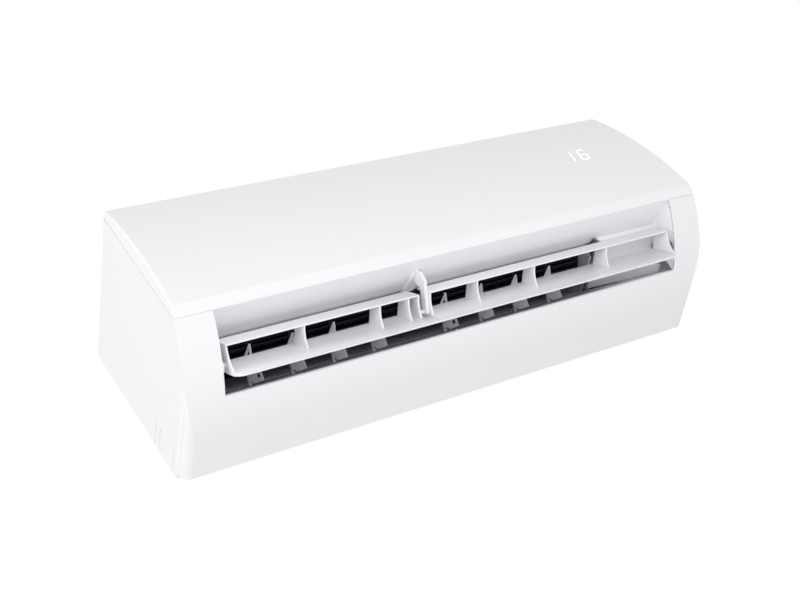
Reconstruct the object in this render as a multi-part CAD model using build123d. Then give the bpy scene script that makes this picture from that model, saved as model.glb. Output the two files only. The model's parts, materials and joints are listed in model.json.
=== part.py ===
from build123d import *

from math import cos, hypot, pi, radians, sin, sqrt, tan
import os

os.makedirs("parts", exist_ok=True)

# Indoor unit of a wall-hung split air conditioner, in millimetres.
# X runs along the unit, to the right as seen from the room. The wall is the plane Y = 0 and the
# unit stands out from it towards -Y. A place in the unit's section is (depth, height): depth is
# measured from the wall, height from the underside. The finished pieces are shifted down at the
# end, so that the origin lies at the centre of the wall plate's screw pattern.

# ---- overall shape
length = 777.0              # across the rear bottom edge
height = 250.0
underside_flat = 50.0       # depth of the flat part of the underside
underside_radius = 223.0    # the underside then curves up towards the front
crease_depth = 198.0        # where the underside meets the front
front_top_depth = 202.0
front_bulge = 9.5           # rise of the curved front over its chord
end_lean = 0.047            # how far each end leans in for each mm of height
end_draft = 0.0195          # and for each mm of depth
end_round = 16.0            # rounding between each end and the underside
end_round_depth = 123.0     # the rounding stops here
shell = 2.5                 # wall of the visible mouldings
reveal = 0.6                # gap between the front panel and the casing
edge_round = 3.0            # rounding of the visible outer edges

# ---- front panel
seam_inset, panel_top_inset = 10.7, 8.0     # of the panel's rear edge from its front corners
seam_depth = crease_depth - seam_inset      # this edge at the bottom, on the underside's curve
panel_top_depth = front_top_depth - panel_top_inset     # and at the top
panel_axis = (panel_top_depth + 0.4, height - 2.4)
step_back = 2.5             # the casing's front wall leans back this much more at the top
hinge_pin_radius = 1.0
hinge_eye_radius = 2.1
hinge_thickness = 3.0
hinge_x = length / 2 - 88.5
side_gap = 0.4              # sideways gap between a hinge eye and its ear

# ---- air inlet in the top
grille_window = (15.0, 36.0)
grille_bar, grille_beam = 3.2, 4.0
grille_rows = 3
grille_depth = 93.0         # of the grille's middle
grid_windows = (5, 4)       # windows in front of each filter, across and up
grid_bar, grid_side, grid_top = 3.0, 8.0, 16.0

# ---- grooves round the break-out pieces in the left end
groove_lines = ((0.0, 46.0, 70.0), (4.0, 32.0, 58.0), (0.0, 36.0, 20.0))    # depths, height
groove_width, groove_deep = 1.0, 0.7
groove_hook = 2.5           # each groove turns down at its front end by this much

# ---- air outlet
mouth_inset_left, mouth_inset_right = 51.5, 50.5    # of the mouth's sides from the unit's ends
mouth_left, mouth_right = mouth_inset_left - length / 2, length / 2 - mouth_inset_right
lip_depth = 100.0
tongue = (122.0, 76.0)      # where the outlet's upper wall meets the fan
wall_bend = (133.0, 67.5)
duct_wall = 3.0
duct_bend = (74.0, 41.0)    # the outlet's rear wall is straight from the lip to here
duct_bottom, duct_end = (50.0, 75.0), (52.0, 163.0)     # it then curves through these places
duct_upper_turn = 31.0      # degrees past the fan's rearmost point
side_rim = ((88.0, 190.0), (142.0, 150.0), (142.0, 95.0))   # front corners of the duct's end plates
fan_centre = (88.0, 115.0)
fan_radius = 46.0
fan_gap = 6.0               # between the fan and the duct at its narrowest
fan_side_gap = 6.0          # between each end of the fan and the duct
motor_room = 116.0          # room right of the fan for its motor
fan_left, fan_right = mouth_left + fan_side_gap, mouth_right - motor_room
duct_right = fan_right + fan_side_gap       # right side of the duct at the fan
side_top, side_foot = 59.0, 30.0    # the duct's right side slants between these heights
side_front = 140.0          # depth of that side's front edge
clamp_gap = 1.5             # between that side and the motor's clamp
louver_clear = 33.5         # kept free of fixed pieces round the louver's axis
running = 0.06              # radial clearance of a turning pin in its bore
touch_gap = 0.3             # clearance of pieces that must not rub

# ---- louver
pivot = (128.0, 24.5)
louver_left, louver_right = mouth_left + 7.0, mouth_right - 10.0
blade_rear, blade_front = 104.3, 157.5      # depths of the closed blade's edges
blade_edge, blade_middle = 2.2, 6.0         # its thickness at the edges and in the middle
blade_corner = 12.0
pocket_depths = (120.0, 154.0)              # pocket in the blade for the centre bracket
deflector_front, deflector_rear = (126.0, 47.5), (102.0, 37.5)
deflector_thickness = 2.0
rib_x = (-232.0, -131.0, -91.0, -77.0, -60.0, 10.0, 99.0, 219.0)
rib_thickness = 2.0
rib_toe, end_toe = 139.5, 148.0     # depths of the front foot of a rib and of an end plate
rib_back, rib_heel = 107.5, 111.5   # depths of a rib's rear edge, at the deflector and at the blade
louver_pin_radius = 2.5
bush_radius = 7.0
stepper_radius, stepper_length = 14.0, 19.0
motor_offset = 8.0          # of the stepper's output shaft from its body's axis
ear_reach, ear_thickness, ear_hole = 17.5, 0.8, 1.6
open_angle = 90.0           # the louver is drawn open by this much
bracket_x = -66.0
bracket_thickness = 4.5
bracket_eye_radius = 4.2
bracket_root = ((167.0, 54.9), (154.0, 59.8))       # where its arm meets the outlet's upper wall
bracket_knee = ((168.5, 46.5), (164.0, 36.2), (152.5, 31.2), (151.0, 38.8))

# ---- vanes
vane_spacing = 55.4
vane_first_left, vane_first_right = mouth_left + 50.5, -15.0
vanes_in_group = 4
vane_axis_place = 36.0      # from the lip along the rear wall
vane_turn = 30.0            # degrees that the vanes are turned to the right
vane_thickness = 1.6
vane_leg = 3.2
vane_pin_radius = 2.0
vane_plate = ((4.5, 2.5), (8.0, 1.3), (19.5, 3.2), (18.0, 13.0), (12.1, 24.0), (11.2, 35.0),
              (12.3, 46.0), (10.8, 46.0), (1.2, 34.0))      # (down the flow, up the pin)
vane_window = ((4.4, 33.6), (8.9, 33.6), (8.8, 38.6), (7.6, 38.6))
vane_hole = ((11.6, 6.4), (16.6, 7.2), (16.2, 11.8), (11.4, 11.0))
strip_width = 7.0           # of the strip that holds the vanes' feet, let into the duct's wall
link_reach = 10.5           # from a vane's axis to its link pin
link_height = 20.5
link_thickness = 3.0
link_width = 6.0
link_pin_radius = 1.4

# ---- fan rotor
blade_count = 35
disc_count = 11
disc_thickness = 2.0
fan_blade_thickness = 1.2
fan_blade_inner = 36.0
shaft_radius = 4.0

# ---- fan motor
motor_left = fan_right + 18.0
motor_right = motor_left + 72.0
motor_radius = 40.0
cradle_x = (motor_left + 6.0, motor_right - 12.0)
cradle_thickness = 4.0
clamp_thickness = 3.0
flange_height = 12.0        # of the clamp's and cradle's screw flanges
bearing_seat = 12.0
hub_hole = 14.0

# ---- heat exchanger
fins_left, fins_right = mouth_left + 2.0, fan_right + 4.0
fin_depth = 26.0
front_leg = ((163.0, 80.0), (163.0, 150.0))
upper_leg = ((158.0, 160.0), (104.0, 220.0))
rear_leg = ((80.0, 218.0), (36.5, 175.3))
end_plate, plate_edge = 1.5, 0.3    # thickness, and how far it stands past the fins
tube_radius = 3.5
tube_pitch = 21.0
bend_reach = 18.0           # room beyond the end plates for the return bends
gas_pipe_radius, liquid_pipe_radius = 4.76, 3.18
foam = 5.0                  # wall of the pipes' foam sleeves
pipe_end_x = -60.0
gas_pipe_turn, liquid_pipe_turn = 42.0, 63.0        # where each pipe turns down, right of the fins
pipe_run_gas, pipe_run_liquid = (26.0, 44.0), (24.0, 20.0)
clamp_x, clamp_width = 120.0, 14.0
pan_depth, pan_height = (137.0, 182.0), (72.0, 84.0)
pan_feet, pan_foot_inset = 6, 40.0
spigot_place = (160.0, 79.0)
spigot_radius, spigot_bore, spigot_length = 4.5, 3.3, 24.0

# ---- chassis and wall plate
back_depth = 12.0           # depth of the chassis' back wall
back_wall = 2.5
channel_height = 62.0       # top of the channel for the pipes
channel_depth = 46.0
channel_wall = 2.5
shelf_height, shelf_depth = (148.0, 151.0), 42.0    # shelf between the back wall and the duct
hook_lug_depth = (3.2, 6.2)
hook_lug_height = 12.0
plate_thickness = 1.2
plate_width, plate_height = 500.0, 150.0
screw_spacing_x, screw_spacing_z = 400.0, 110.0
screw_hole_radius = 3.0
origin_height = height - 89.0       # centre of the screw pattern above the underside
plate_bottom = origin_height - plate_height / 2
hook_x = 150.0
hook_width = 30.0
hook_tab_height = height - 28.0

# ---- filters
filter_depth = 179.0
filter_thickness = 3.0
filter_bottom, filter_top = 86.0, height - 1.0
filter_border = 6.0
filter_bar = 1.6
filter_left = (fins_left + 2.0, -54.5)
filter_right = (-50.5, fins_right)
guide_wall = 1.5

# ---- electrical parts
box_x = (motor_left + 6.0, length / 2 - 22.5)
box_depth = (fan_centre[0] + motor_radius + clamp_thickness + 1.0, 174.0)
box_height = (90.0, height - 18.0)
box_wall = 2.0
tall_part_gap = 6.4         # between the tallest component and the cover
board = 1.6
display_x = (fins_right + 7.0, fins_right + 90.0)
display_height = (138.0, 178.0)
display_board_depth = 179.5
digit_height = 25.0
digit_width = 14.0
digit_stroke = 2.2
digit_gap = 0.25            # between a bar's point and the figure's corner
digit_chamfer = 0.9         # length of the point at each end of a bar
digit_inlay = 1.0           # the lit bars are let into the panel this deep
digit_slant = 15.0          # degrees, top towards the right
digit_places = (display_x[0] + 14.6, display_x[0] + 39.5)
digit_centre = 157.0
button_place = (display_x[0] + 70.0, digit_centre + 1.0)
button_radius = 4.0
button_travel = 1.5


# ---------------------------------------------------------------- helpers
def section(points):
    """Closed face in the plane X = 0 with corners at (depth, height)."""
    return make_face(Polyline(*[(0, -d, h) for d, h in points], close=True))


def prism(points, x0, x1):
    """The section through the points, from x0 to x1."""
    return Pos(x0, 0, 0) * extrude(section(points), amount=x1 - x0, dir=(1, 0, 0))


def block(x, d, h):
    """Box between the pairs x, depth d and height h."""
    box = Box(x[1] - x[0], d[1] - d[0], h[1] - h[0], align=(Align.MIN,) * 3)
    return Pos(x[0], -d[1], h[0]) * box


def rod(x0, x1, place, radius):
    """Cylinder along X."""
    d, h = place
    plane = Plane(origin=(x0, -d, h), x_dir=(0, 1, 0), z_dir=(1, 0, 0))
    return plane * extrude(Circle(radius), amount=x1 - x0)


def tube(x0, x1, place, outer, inner):
    return rod(x0, x1, place, outer) - rod(x0 - 1, x1 + 1, place, inner)


def stub(x, h, d0, d1, radius):
    """Cylinder square to the wall, from depth d0 to d1."""
    plane = Plane(origin=(x, -d0, h), x_dir=(1, 0, 0), z_dir=(0, -1, 0))
    return plane * extrude(Circle(radius), amount=d1 - d0)


def underside(depth, inset=0.0):
    """Height of the underside, or of its inner face, at a depth."""
    past = max(depth - underside_flat, 0.0)
    return underside_radius - sqrt((underside_radius - inset) ** 2 - past ** 2)


def along(a, b, distance):
    """Point on the way from a to b, and the unit vector that leads there."""
    span = hypot(b[0] - a[0], b[1] - a[1])
    ux, uy = (b[0] - a[0]) / span, (b[1] - a[1]) / span
    return (a[0] + ux * distance, a[1] + uy * distance), (ux, uy)


def arc(a, b, c):
    """Arc in the section plane through three (depth, height) points."""
    return ThreePointArc(*[(0, -d, h) for d, h in (a, b, c)])


def line(a, b):
    return Line(*[(0, -d, h) for d, h in (a, b)])


def solids_of(piece):
    """All solids of a shape, or of a list of shapes."""
    if isinstance(piece, (list, tuple)):
        return [solid for member in piece for solid in solids_of(member)]
    return list(piece.solids())


def save(name, piece):
    """Write one node, shifted to the origin at the wall plate's screw pattern."""
    solids = [Pos(0, 0, -origin_height) * solid for solid in solids_of(piece)]
    whole = solids[0] if len(solids) == 1 else Compound(children=solids)
    export_step(whole, "parts/" + name + ".step")


# ---------------------------------------------------------------- outer form
def unit_section(inset):
    """The whole unit's section, set in by inset all round."""
    crease = (crease_depth, underside(crease_depth))
    top = (front_top_depth, height)
    middle = ((crease[0] + top[0]) / 2, (crease[1] + top[1]) / 2)
    (_, way) = along(crease, top, 1.0)
    bulge = (middle[0] + way[1] * front_bulge, middle[1] - way[0] * front_bulge)
    half = (underside_flat + crease_depth) / 2
    edges = [
        line((0, 0), (underside_flat, 0)),
        arc((underside_flat, 0), (half, underside(half)), crease),
        arc(crease, bulge, top),
        line(top, (0, height)),
        line((0, height), (0, 0)),
    ]
    face = make_face(edges)
    if inset:
        face = offset(face, -inset, kind=Kind.INTERSECTION)
    return face


def front_depth(h):
    """Depth of the curved front at a height."""
    low, high = underside(crease_depth), height
    chord = hypot(front_top_depth - crease_depth, high - low)
    radius = (chord**2 / 4 + front_bulge**2) / (2 * front_bulge)
    slope = (front_top_depth - crease_depth) / chord, (high - low) / chord
    centre_depth = (crease_depth + front_top_depth) / 2 - (radius - front_bulge) * slope[1]
    centre_height = (low + high) / 2 + (radius - front_bulge) * slope[0]
    return centre_depth + sqrt(radius**2 - (h - centre_height)**2)


def end_plane(inset):
    """Plane of the right end, set in by inset, facing outwards."""
    normal = Vector(1, -end_draft, end_lean).normalized()
    origin = Vector(length / 2, 0, 0) - normal * inset
    return Plane(origin=origin, z_dir=normal)


def corner_tool(radius, inset):
    """What the rounding takes off between the right end and the underside."""
    x = length / 2 - inset * (1 + end_lean)
    slope = hypot(1, end_lean)
    reach = radius * (slope + end_lean)
    corner = Vector(x - end_lean * inset, 0, inset)
    low = corner - Vector(reach, 0, 0)
    high = corner + Vector(-end_lean, 0, 1) * (reach / slope)
    centre = low + Vector(0, 0, radius)
    middle = centre + (corner - centre).normalized() * radius
    face = make_face([Line(low, corner), Line(corner, high), ThreePointArc(high, middle, low)])
    path = Vector(-end_draft, -1, 0) * (end_round_depth + 4)
    start = Pos(end_draft * 4, 4, 0)
    return start * extrude(face, amount=path.length, dir=path.normalized())


def unit_body(inset=0.0, rounded=True, soft_edges=False):
    """The whole unit as one solid, set in by inset."""
    body = Pos(-length / 2, 0, 0) * extrude(unit_section(inset), amount=length, dir=(1, 0, 0))
    right = end_plane(inset)
    for plane in (right, Plane(origin=(-right.origin.X, right.origin.Y, right.origin.Z),
                               z_dir=(-right.z_dir.X, right.z_dir.Y, right.z_dir.Z))):
        body = split(body, bisect_by=plane, keep=Keep.BOTTOM)
    if soft_edges:
        body = fillet(body.edges().filter_by(outer_edge), edge_round)
    if rounded:
        tool = corner_tool(end_round - inset, inset)
        body = body - tool - mirror(tool, about=Plane.YZ)
    return body


def on_end(point):
    """True for a point on either end of the unit."""
    x = length / 2 - end_lean * point.Z + end_draft * point.Y
    return abs(abs(point.X) - x) < 0.05


def outer_edge(edge):
    """True for the end, front and top edges that are rounded."""
    middle = edge @ 0.5
    ends = on_end(middle) and on_end(edge @ 0.1) and on_end(edge @ 0.9)
    front = -middle.Y > seam_depth or middle.Z > height - 1
    top = middle.Z > height - 3 and -middle.Y > front_top_depth - 2 and abs(middle.X) < 1
    crease = abs(middle.X) < 1 and abs(-middle.Y - crease_depth) < 1 and middle.Z < height / 2
    return (ends and front) or top or crease


def seam_line(gap):
    """The panel's rear edge as two points, moved back by gap and run past both ends."""
    low, high = (seam_depth - gap, underside(seam_depth)), (panel_top_depth - gap, height)
    before, _ = along(low, high, -20.0)
    after, _ = along(high, low, -20.0)
    return before, after


# ---------------------------------------------------------------- front panel
def seven_segments(x, lit):
    """Bars of one slanted seven-segment figure, as prisms square to the wall."""
    half_w, half_h = (digit_width - digit_stroke) / 2, (digit_height - digit_stroke) / 2
    bars = {
        "top": ((-half_w, half_w), (half_h, half_h)),
        "middle": ((-half_w, half_w), (0, 0)),
        "bottom": ((-half_w, half_w), (-half_h, -half_h)),
        "upper_left": ((-half_w, -half_w), (0, half_h)),
        "lower_left": ((-half_w, -half_w), (-half_h, 0)),
        "upper_right": ((half_w, half_w), (0, half_h)),
        "lower_right": ((half_w, half_w), (-half_h, 0)),
    }
    half, gap = digit_stroke / 2, digit_gap
    pieces = []
    for name in lit:
        (x0, x1), (h0, h1) = bars[name]
        corners = []
        cut = digit_chamfer
        flat = h1 == h0
        if flat:
            ring = ((x0 + gap, h0), (x0 + gap + cut, h0 + half), (x1 - gap - cut, h0 + half),
                    (x1 - gap, h0), (x1 - gap - cut, h0 - half), (x0 + gap + cut, h0 - half))
        else:
            ring = ((x0, h0 + gap), (x0 + half, h0 + gap + cut), (x0 + half, h1 - gap - cut),
                    (x0, h1 - gap), (x0 - half, h1 - gap - cut), (x0 - half, h0 + gap + cut))
        for u, v in ring:
            corners.append((x + u + v * tan(radians(digit_slant)), 0, digit_centre + v))
        face = Pos(0, 2 * shell - front_depth(digit_centre), 0) * make_face(Polyline(*corners, close=True))
        pieces.append(extrude(face, amount=4 * shell, dir=(0, -1, 0)))
    return Part() + pieces


def digit_prisms():
    one = seven_segments(digit_places[0], ("upper_right", "lower_right"))
    six = seven_segments(digit_places[1], ("top", "middle", "bottom", "upper_left", "lower_left",
                                           "lower_right"))
    return one + six


def hinge_lug(x, inward):
    """Panel's hinge plate with its pin, which points towards x + inward."""
    d, h = panel_axis
    eye = rod(x, x + hinge_thickness, panel_axis, hinge_eye_radius)
    arm = prism([(d - 1.2, h - 1.2), (d + 1.5, h + 1.2), (front_top_depth + 2, h + 1.2),
                 (front_top_depth + 2, h - 7), (d + 1, h - 2)], x, x + hinge_thickness)
    reach = hinge_thickness + side_gap
    span = (x + hinge_thickness, x + hinge_thickness + reach) if inward > 0 else (x - reach, x)
    return eye + arm + rod(span[0], span[1], panel_axis, hinge_pin_radius)


def make_front_panel():
    outer = unit_body(soft_edges=True)
    low, high = seam_line(0.0)
    past = front_top_depth + 60
    front = prism([low, high, (past, high[1]), (past, low[1])], -length, length)
    inner = unit_body(shell, rounded=False)
    panel = (outer & front) - inner
    ear = hinge_thickness + 2 * side_gap
    lugs = []
    for x in (-hinge_x, hinge_x):
        notch = block((x - ear / 2, x + ear / 2), (panel_top_depth - 2, panel_axis[0] + 3.2),
                      (height - 5, height + 1))
        panel = panel - notch
        side = 1 if x < 0 else -1
        edge = x - ear / 2 - hinge_thickness if side > 0 else x + ear / 2
        lugs.append(hinge_lug(edge, side) & outer)
    panel = panel + lugs
    segments = (panel & digit_prisms()) - unit_body(digit_inlay, rounded=False)
    return panel - segments, segments


# ---------------------------------------------------------------- front casing
def casing_profile_cut():
    """Region in front of the casing, stepped back at the top for the panel's turn."""
    low, high = seam_line(reveal)
    d, h = panel_axis
    turn = hypot(height - h, d - panel_top_depth) + touch_gap
    top, _ = along(high, low, 20.0)
    past = front_top_depth + 60
    return [low, (top[0] - 0.2, h - turn - 1), (d - turn, h - turn + 1), (d - turn, height + 5),
            (past, height + 5), (past, low[1])]


def front_inner_depth(h):
    """Depth of the inner face of the casing's front wall, at a height."""
    low, high = seam_line(reveal + shell)
    return low[0] + (high[0] - step_back - low[0]) * (h - low[1]) / (high[1] - low[1])


def casing_inner():
    """Hollow of the casing, open at the back."""
    inner = unit_body(shell)
    keep = prism([(-5, -5), (front_inner_depth(-5), -5), (front_inner_depth(height + 5), height + 5),
                  (-5, height + 5)], -length, length)
    back = inner.faces().sort_by(Axis.Y)[-1]
    return (inner & keep) + extrude(back, amount=shell + 2, dir=(0, 1, 0))


def top_grille_cuts():
    """Slots of the air inlet in the top of the casing."""
    count = int((fins_right - fins_left) // (grille_window[0] + grille_bar))
    grid = GridLocations(grille_window[0] + grille_bar, grille_window[1] + grille_beam, count, grille_rows)
    cuts = extrude(Sketch() + [place * Rectangle(*grille_window) for place in grid], amount=2 * shell + 5)
    return Pos((fins_left + fins_right) / 2, -grille_depth, height - shell - 5) * cuts


def front_grid_cuts():
    """Windows in the wall behind the front panel, in front of the filters."""
    half = grid_bar / 2
    columns, rows = grid_windows
    low, high = filter_bottom + 6, height - grid_top
    cuts = []
    for (x0, x1) in (filter_left, filter_right):
        left, right = x0 + grid_side, x1 - grid_side
        step_x, step_h = (right - left) / columns, (high - low) / rows
        for i in range(columns):
            for j in range(rows):
                x, h = left + i * step_x, low + j * step_h
                cuts.append(block((x + half, x + step_x - half), (filter_depth + 4, crease_depth),
                                  (h + half, h + step_h - half)))
    return cuts


def knock_out_grooves():
    """Grooves round the break-out pieces for the pipes, in the left end."""
    half = groove_width / 2
    grooves = []
    for d0, d1, h in groove_lines:
        x = end_lean * h + end_draft * (d0 + d1) / 2 - length / 2
        grooves.append(block((x - 1, x + groove_deep), (d0 - 1, d1), (h - half, h + half)))
        grooves.append(block((x - 1, x + groove_deep + 0.2), (d1 - 3, d1), (h - groove_hook, h + half)))
    return grooves


def hinge_ears():
    """Ears on the casing that carry the panel's hinge pins."""
    d, h = panel_axis
    ears = []
    for x in (-hinge_x, hinge_x):
        x0, x1 = x - hinge_thickness / 2, x + hinge_thickness / 2
        root = prism([(d - 8, height - 0.5), (d - 4, height - 0.5), (d, h + hinge_eye_radius),
                      (d, h - hinge_eye_radius), (d - 5, h - 6), (d - 8, h - 6)], x0, x1)
        eye = rod(x0, x1, panel_axis, hinge_eye_radius)
        bore = rod(x0 - 1, x1 + 1, panel_axis, hinge_pin_radius + running)
        ears.append(root + eye - bore)
    return ears


def make_front_casing():
    outer = unit_body(soft_edges=True)
    casing = outer - prism(casing_profile_cut(), -length, length) - casing_inner()
    mouth_top = underside(seam_depth) + shell + 1.5
    mouth = prism([(lip_depth, -5), (lip_depth, 20), (lip_depth + 50, mouth_top),
                   (crease_depth + 60, mouth_top), (crease_depth + 60, -5)], mouth_left, mouth_right)
    casing = casing - mouth - top_grille_cuts()
    for x0, x1 in (filter_left, filter_right):
        casing = casing - block((x0 - touch_gap, x1 + touch_gap),
                                (filter_depth - touch_gap, filter_depth + filter_thickness + touch_gap),
                                (height - 10, height + 1))
    casing = casing - front_grid_cuts() - knock_out_grooves()
    x0, x1 = module_x()
    window = block((x0 - 1, x1 + 1), (filter_depth, crease_depth), (digit_centre - 17, digit_centre + 17))
    button_hole = stub(*button_place, filter_depth, crease_depth, button_radius + touch_gap)
    casing = casing - window - button_hole
    return casing + hinge_ears()


# ---------------------------------------------------------------- outlet
def duct_points():
    """Corners and arcs of the duct's rear wall, lip first, on its air side."""
    d, h = fan_centre
    near = fan_radius + fan_gap
    lip = (lip_depth - 1.5, underside(lip_depth) + shell + 1.6)
    back = (d - near, h)
    turn = radians(duct_upper_turn)
    upper = (d - near * cos(turn), h + (near + 1) * sin(turn))
    return lip, duct_bend, duct_bottom, back, upper, duct_end


def outward(point, amount):
    """Point moved away from the fan's centre, or square to the straight wall near the lip."""
    lip, bend = duct_points()[:2]
    if point in (lip, bend):
        _, way = along(lip, bend, 1.0)
        return (point[0] - way[1] * amount, point[1] + way[0] * amount)
    moved, _ = along(fan_centre, point, hypot(point[0] - fan_centre[0], point[1] - fan_centre[1]) + amount)
    return moved


def make_chassis():
    lip, bend, bottom, back, upper, end = duct_points()
    o_lip, o_bend, o_bottom, o_back, o_upper, o_end = [outward(p, duct_wall) for p in duct_points()]
    scroll = make_face([
        line(lip, bend), arc(bend, bottom, back), arc(back, upper, end), line(end, o_end),
        arc(o_end, o_upper, o_back), arc(o_back, o_bottom, o_bend), line(o_bend, o_lip),
        line(o_lip, lip)])
    left, right = mouth_left - duct_wall, duct_right + duct_wall
    chassis = Pos(left, 0, 0) * extrude(scroll, amount=right - left, dir=(1, 0, 0))
    past_fan = Pos(right - 1, 0, 0) * extrude(scroll, amount=mouth_right + duct_wall - right + 1,
                                              dir=(1, 0, 0))
    chassis += past_fan & below_duct_side()
    foot = underside(lip[0], shell) + touch_gap
    chassis += prism([lip, (lip[0] - duct_wall, lip[1] + 1), (lip[0] - duct_wall, foot), (lip[0], foot)],
                     left, mouth_right + duct_wall)
    back_x = length / 2 - end_lean * height - 3 * shell
    inside = back_depth + back_wall
    chassis += block((-back_x, back_x), (back_depth, inside), (channel_height, height - 4))
    chassis += block((left, right), (back_depth, channel_depth + 9),
                     (channel_height, channel_height + channel_wall))
    chassis += block((left, mouth_right + duct_wall), (channel_depth, channel_depth + channel_wall),
                     (underside(channel_depth, shell) + touch_gap, channel_height + 1))
    chassis += block((left, right), (inside - 1, shelf_depth), shelf_height)
    rim = [end, *side_rim, (tongue[0] - 1, tongue[1] + shell + 1), (tongue[0] - 1, tongue[1]), lip]
    side = make_face([line(lip, bend), arc(bend, bottom, back), arc(back, upper, end)]
                     + [line(a, b) for a, b in zip(rim, rim[1:])])
    for x, hole, foot in ((left, bearing_seat, 0.0), (duct_right, hub_hole, side_top)):
        plate = Pos(x, 0, 0) * extrude(side, amount=duct_wall, dir=(1, 0, 0))
        plate -= rod(x - 1, x + duct_wall + 1, fan_centre, hole)
        plate -= block((x - 1, x + duct_wall + 1), (0, crease_depth), (foot - 2 * side_top, foot))
        chassis += plate - rod(x - 1, x + duct_wall + 1, pivot, louver_clear)
    for x in cradle_x:
        chassis += motor_cradle(x)
    for x in (-hook_x, hook_x):
        chassis += hook_lug(x)
    windows = [strip_block(first, 1.0) for first in (vane_first_left, vane_first_right)]
    return chassis + box_carriers() - windows


def box_carriers():
    """Rib and arm that carry the electrical box."""
    x0, x1 = box_x
    depth = (back_depth + back_wall - 1, box_depth[0])
    rib = block((x1 - cradle_thickness, x1), depth, (box_height[0] + 10, box_height[1] - 12))
    arm = block((x0, x0 + cradle_thickness), depth, (box_height[1] - 10, box_height[1] - 2))
    return rib + arm


def below_duct_side():
    """Everything below the slanted side of the duct, right of the fan."""
    face = make_face(Polyline((duct_right, 0, side_top + 4), (mouth_right, 0, side_foot + 4),
                              (mouth_right + duct_wall, 0, side_foot + 4),
                              (mouth_right + duct_wall, 0, 0), (duct_right, 0, 0), close=True))
    return extrude(face, amount=crease_depth, dir=(0, -1, 0))


def motor_cradle(x):
    """Upright plate that holds the rear half of the fan motor."""
    d, h = fan_centre
    span = (x, x + cradle_thickness)
    foot = channel_height + 2
    top = h + motor_radius + flange_height
    cradle = block(span, (back_depth + back_wall - 1, d), (foot, top))
    cradle += block(span, (d - 1, d + 3), (h + motor_radius - 1, top))
    cradle += block(span, (d - 1, d + 3), (foot, h - motor_radius + 1))
    return cradle - rod(x - 1, x + cradle_thickness + 1, fan_centre, motor_radius)


def hook_lug(x):
    """Tongue on the chassis' back that drops into a hook of the wall plate."""
    half = hook_width / 2 - 3
    low = hook_tab_height + plate_thickness
    top = low + hook_lug_height
    tongue_block = block((x - half, x + half), hook_lug_depth, (low, top))
    ledge = block((x - half, x + half), (hook_lug_depth[0], back_depth + 1), (top - 2, top))
    return tongue_block + ledge


def outlet_front():
    """Front lower edge of the outlet's upper wall."""
    return (seam_depth - reveal, underside(seam_depth) + 0.1)


def outlet_slope():
    """Fall of the outlet's upper wall for each mm of depth."""
    front = outlet_front()
    return (wall_bend[1] - front[1]) / (front[0] - wall_bend[0])


def make_outlet_frame():
    """Upper wall and two cheeks of the outlet, in one moulding."""
    front = outlet_front()
    wall = shell
    outline = [front, wall_bend, tongue, (tongue[0] + 0.8, tongue[1] + wall),
               (wall_bend[0] + 0.8, wall_bend[1] + wall), (front[0], front[1] + wall)]
    frame = prism(outline, mouth_left, mouth_right)
    lip = duct_points()[0]
    cheek = []
    steps = 6
    for i in range(steps + 1):
        d = lip[0] + 1 + (front[0] - lip[0] - 1 - 2 * shell) * i / steps
        cheek.append((d, underside(d, shell) + touch_gap))
    inside, _ = along(front, wall_bend, wall + 2)
    cheek += [(inside[0], inside[1] + 1), (wall_bend[0] + 0.5, wall_bend[1] + 1.5),
              (tongue[0] + 0.5, tongue[1] + 1.5), tongue]
    for x in (mouth_left - wall, mouth_right):
        frame += prism(cheek, x, x + wall) - rod(x - 1, x + wall + 1, pivot, bush_radius)
    return frame


def make_duct_side():
    """Slanted right side of the duct: a wedge between the fan's end and the outlet's right cheek."""
    lip, bend = duct_points()[:2]
    gap = touch_gap
    top = fan_centre[1] - motor_radius - flange_height - clamp_gap
    face = make_face(Polyline((duct_right, 0, side_top), (mouth_right, 0, side_foot),
                              (mouth_right, 0, tongue[1] + 5), (duct_right, 0, tongue[1] + 5), close=True))
    wedge = extrude(face, amount=crease_depth, dir=(0, -1, 0))
    roof = wall_bend[1] - (side_front - wall_bend[0]) * outlet_slope() - gap
    keep = prism([(lip[0] + gap, lip[1]), (bend[0] + gap, bend[1] + gap), (61, top),
                  (fan_centre[0] + 8, top), (tongue[0] - 2, tongue[1] - gap),
                  (wall_bend[0] - 1, wall_bend[1] - gap), (side_front, roof), (side_front, lip[1])],
                 duct_right + duct_wall, mouth_right)
    return (wedge & keep) - rod(mouth_left, mouth_right + 1, pivot, louver_clear)


def make_drain_pan():
    """Trough below the coil's front leg, with feet on the outlet's wall and a spigot at the right."""
    x0, x1 = fins_left - end_plate - bend_reach, fins_right + end_plate + bend_reach
    (d0, d1), (h0, h1) = pan_depth, pan_height
    pan = block((x0, x1), pan_depth, pan_height)
    pan -= block((x0 + shell, x1 - shell), (d0 + shell, d1 - shell), (h0 + shell, h1 + 1))
    front = outlet_front()
    below = prism([(tongue[0], 0), (front[0] + 20, 0), (front[0], front[1] + shell),
                   (wall_bend[0] + 0.8, wall_bend[1] + shell), (tongue[0], height)], -length, length)
    step = (x1 - x0 - 2 * pan_foot_inset) / (pan_feet - 1)
    for i in range(pan_feet):
        x = x0 + pan_foot_inset + i * step
        pan += block((x, x + shell), (d0 + 3, d1 - 6), (front[1], h0)) - below
    pan += rod(x1 - shell, x1 + spigot_length, spigot_place, spigot_radius)
    return pan - rod(x1 - shell - 1, x1 + spigot_length + 1, spigot_place, spigot_bore)


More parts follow.
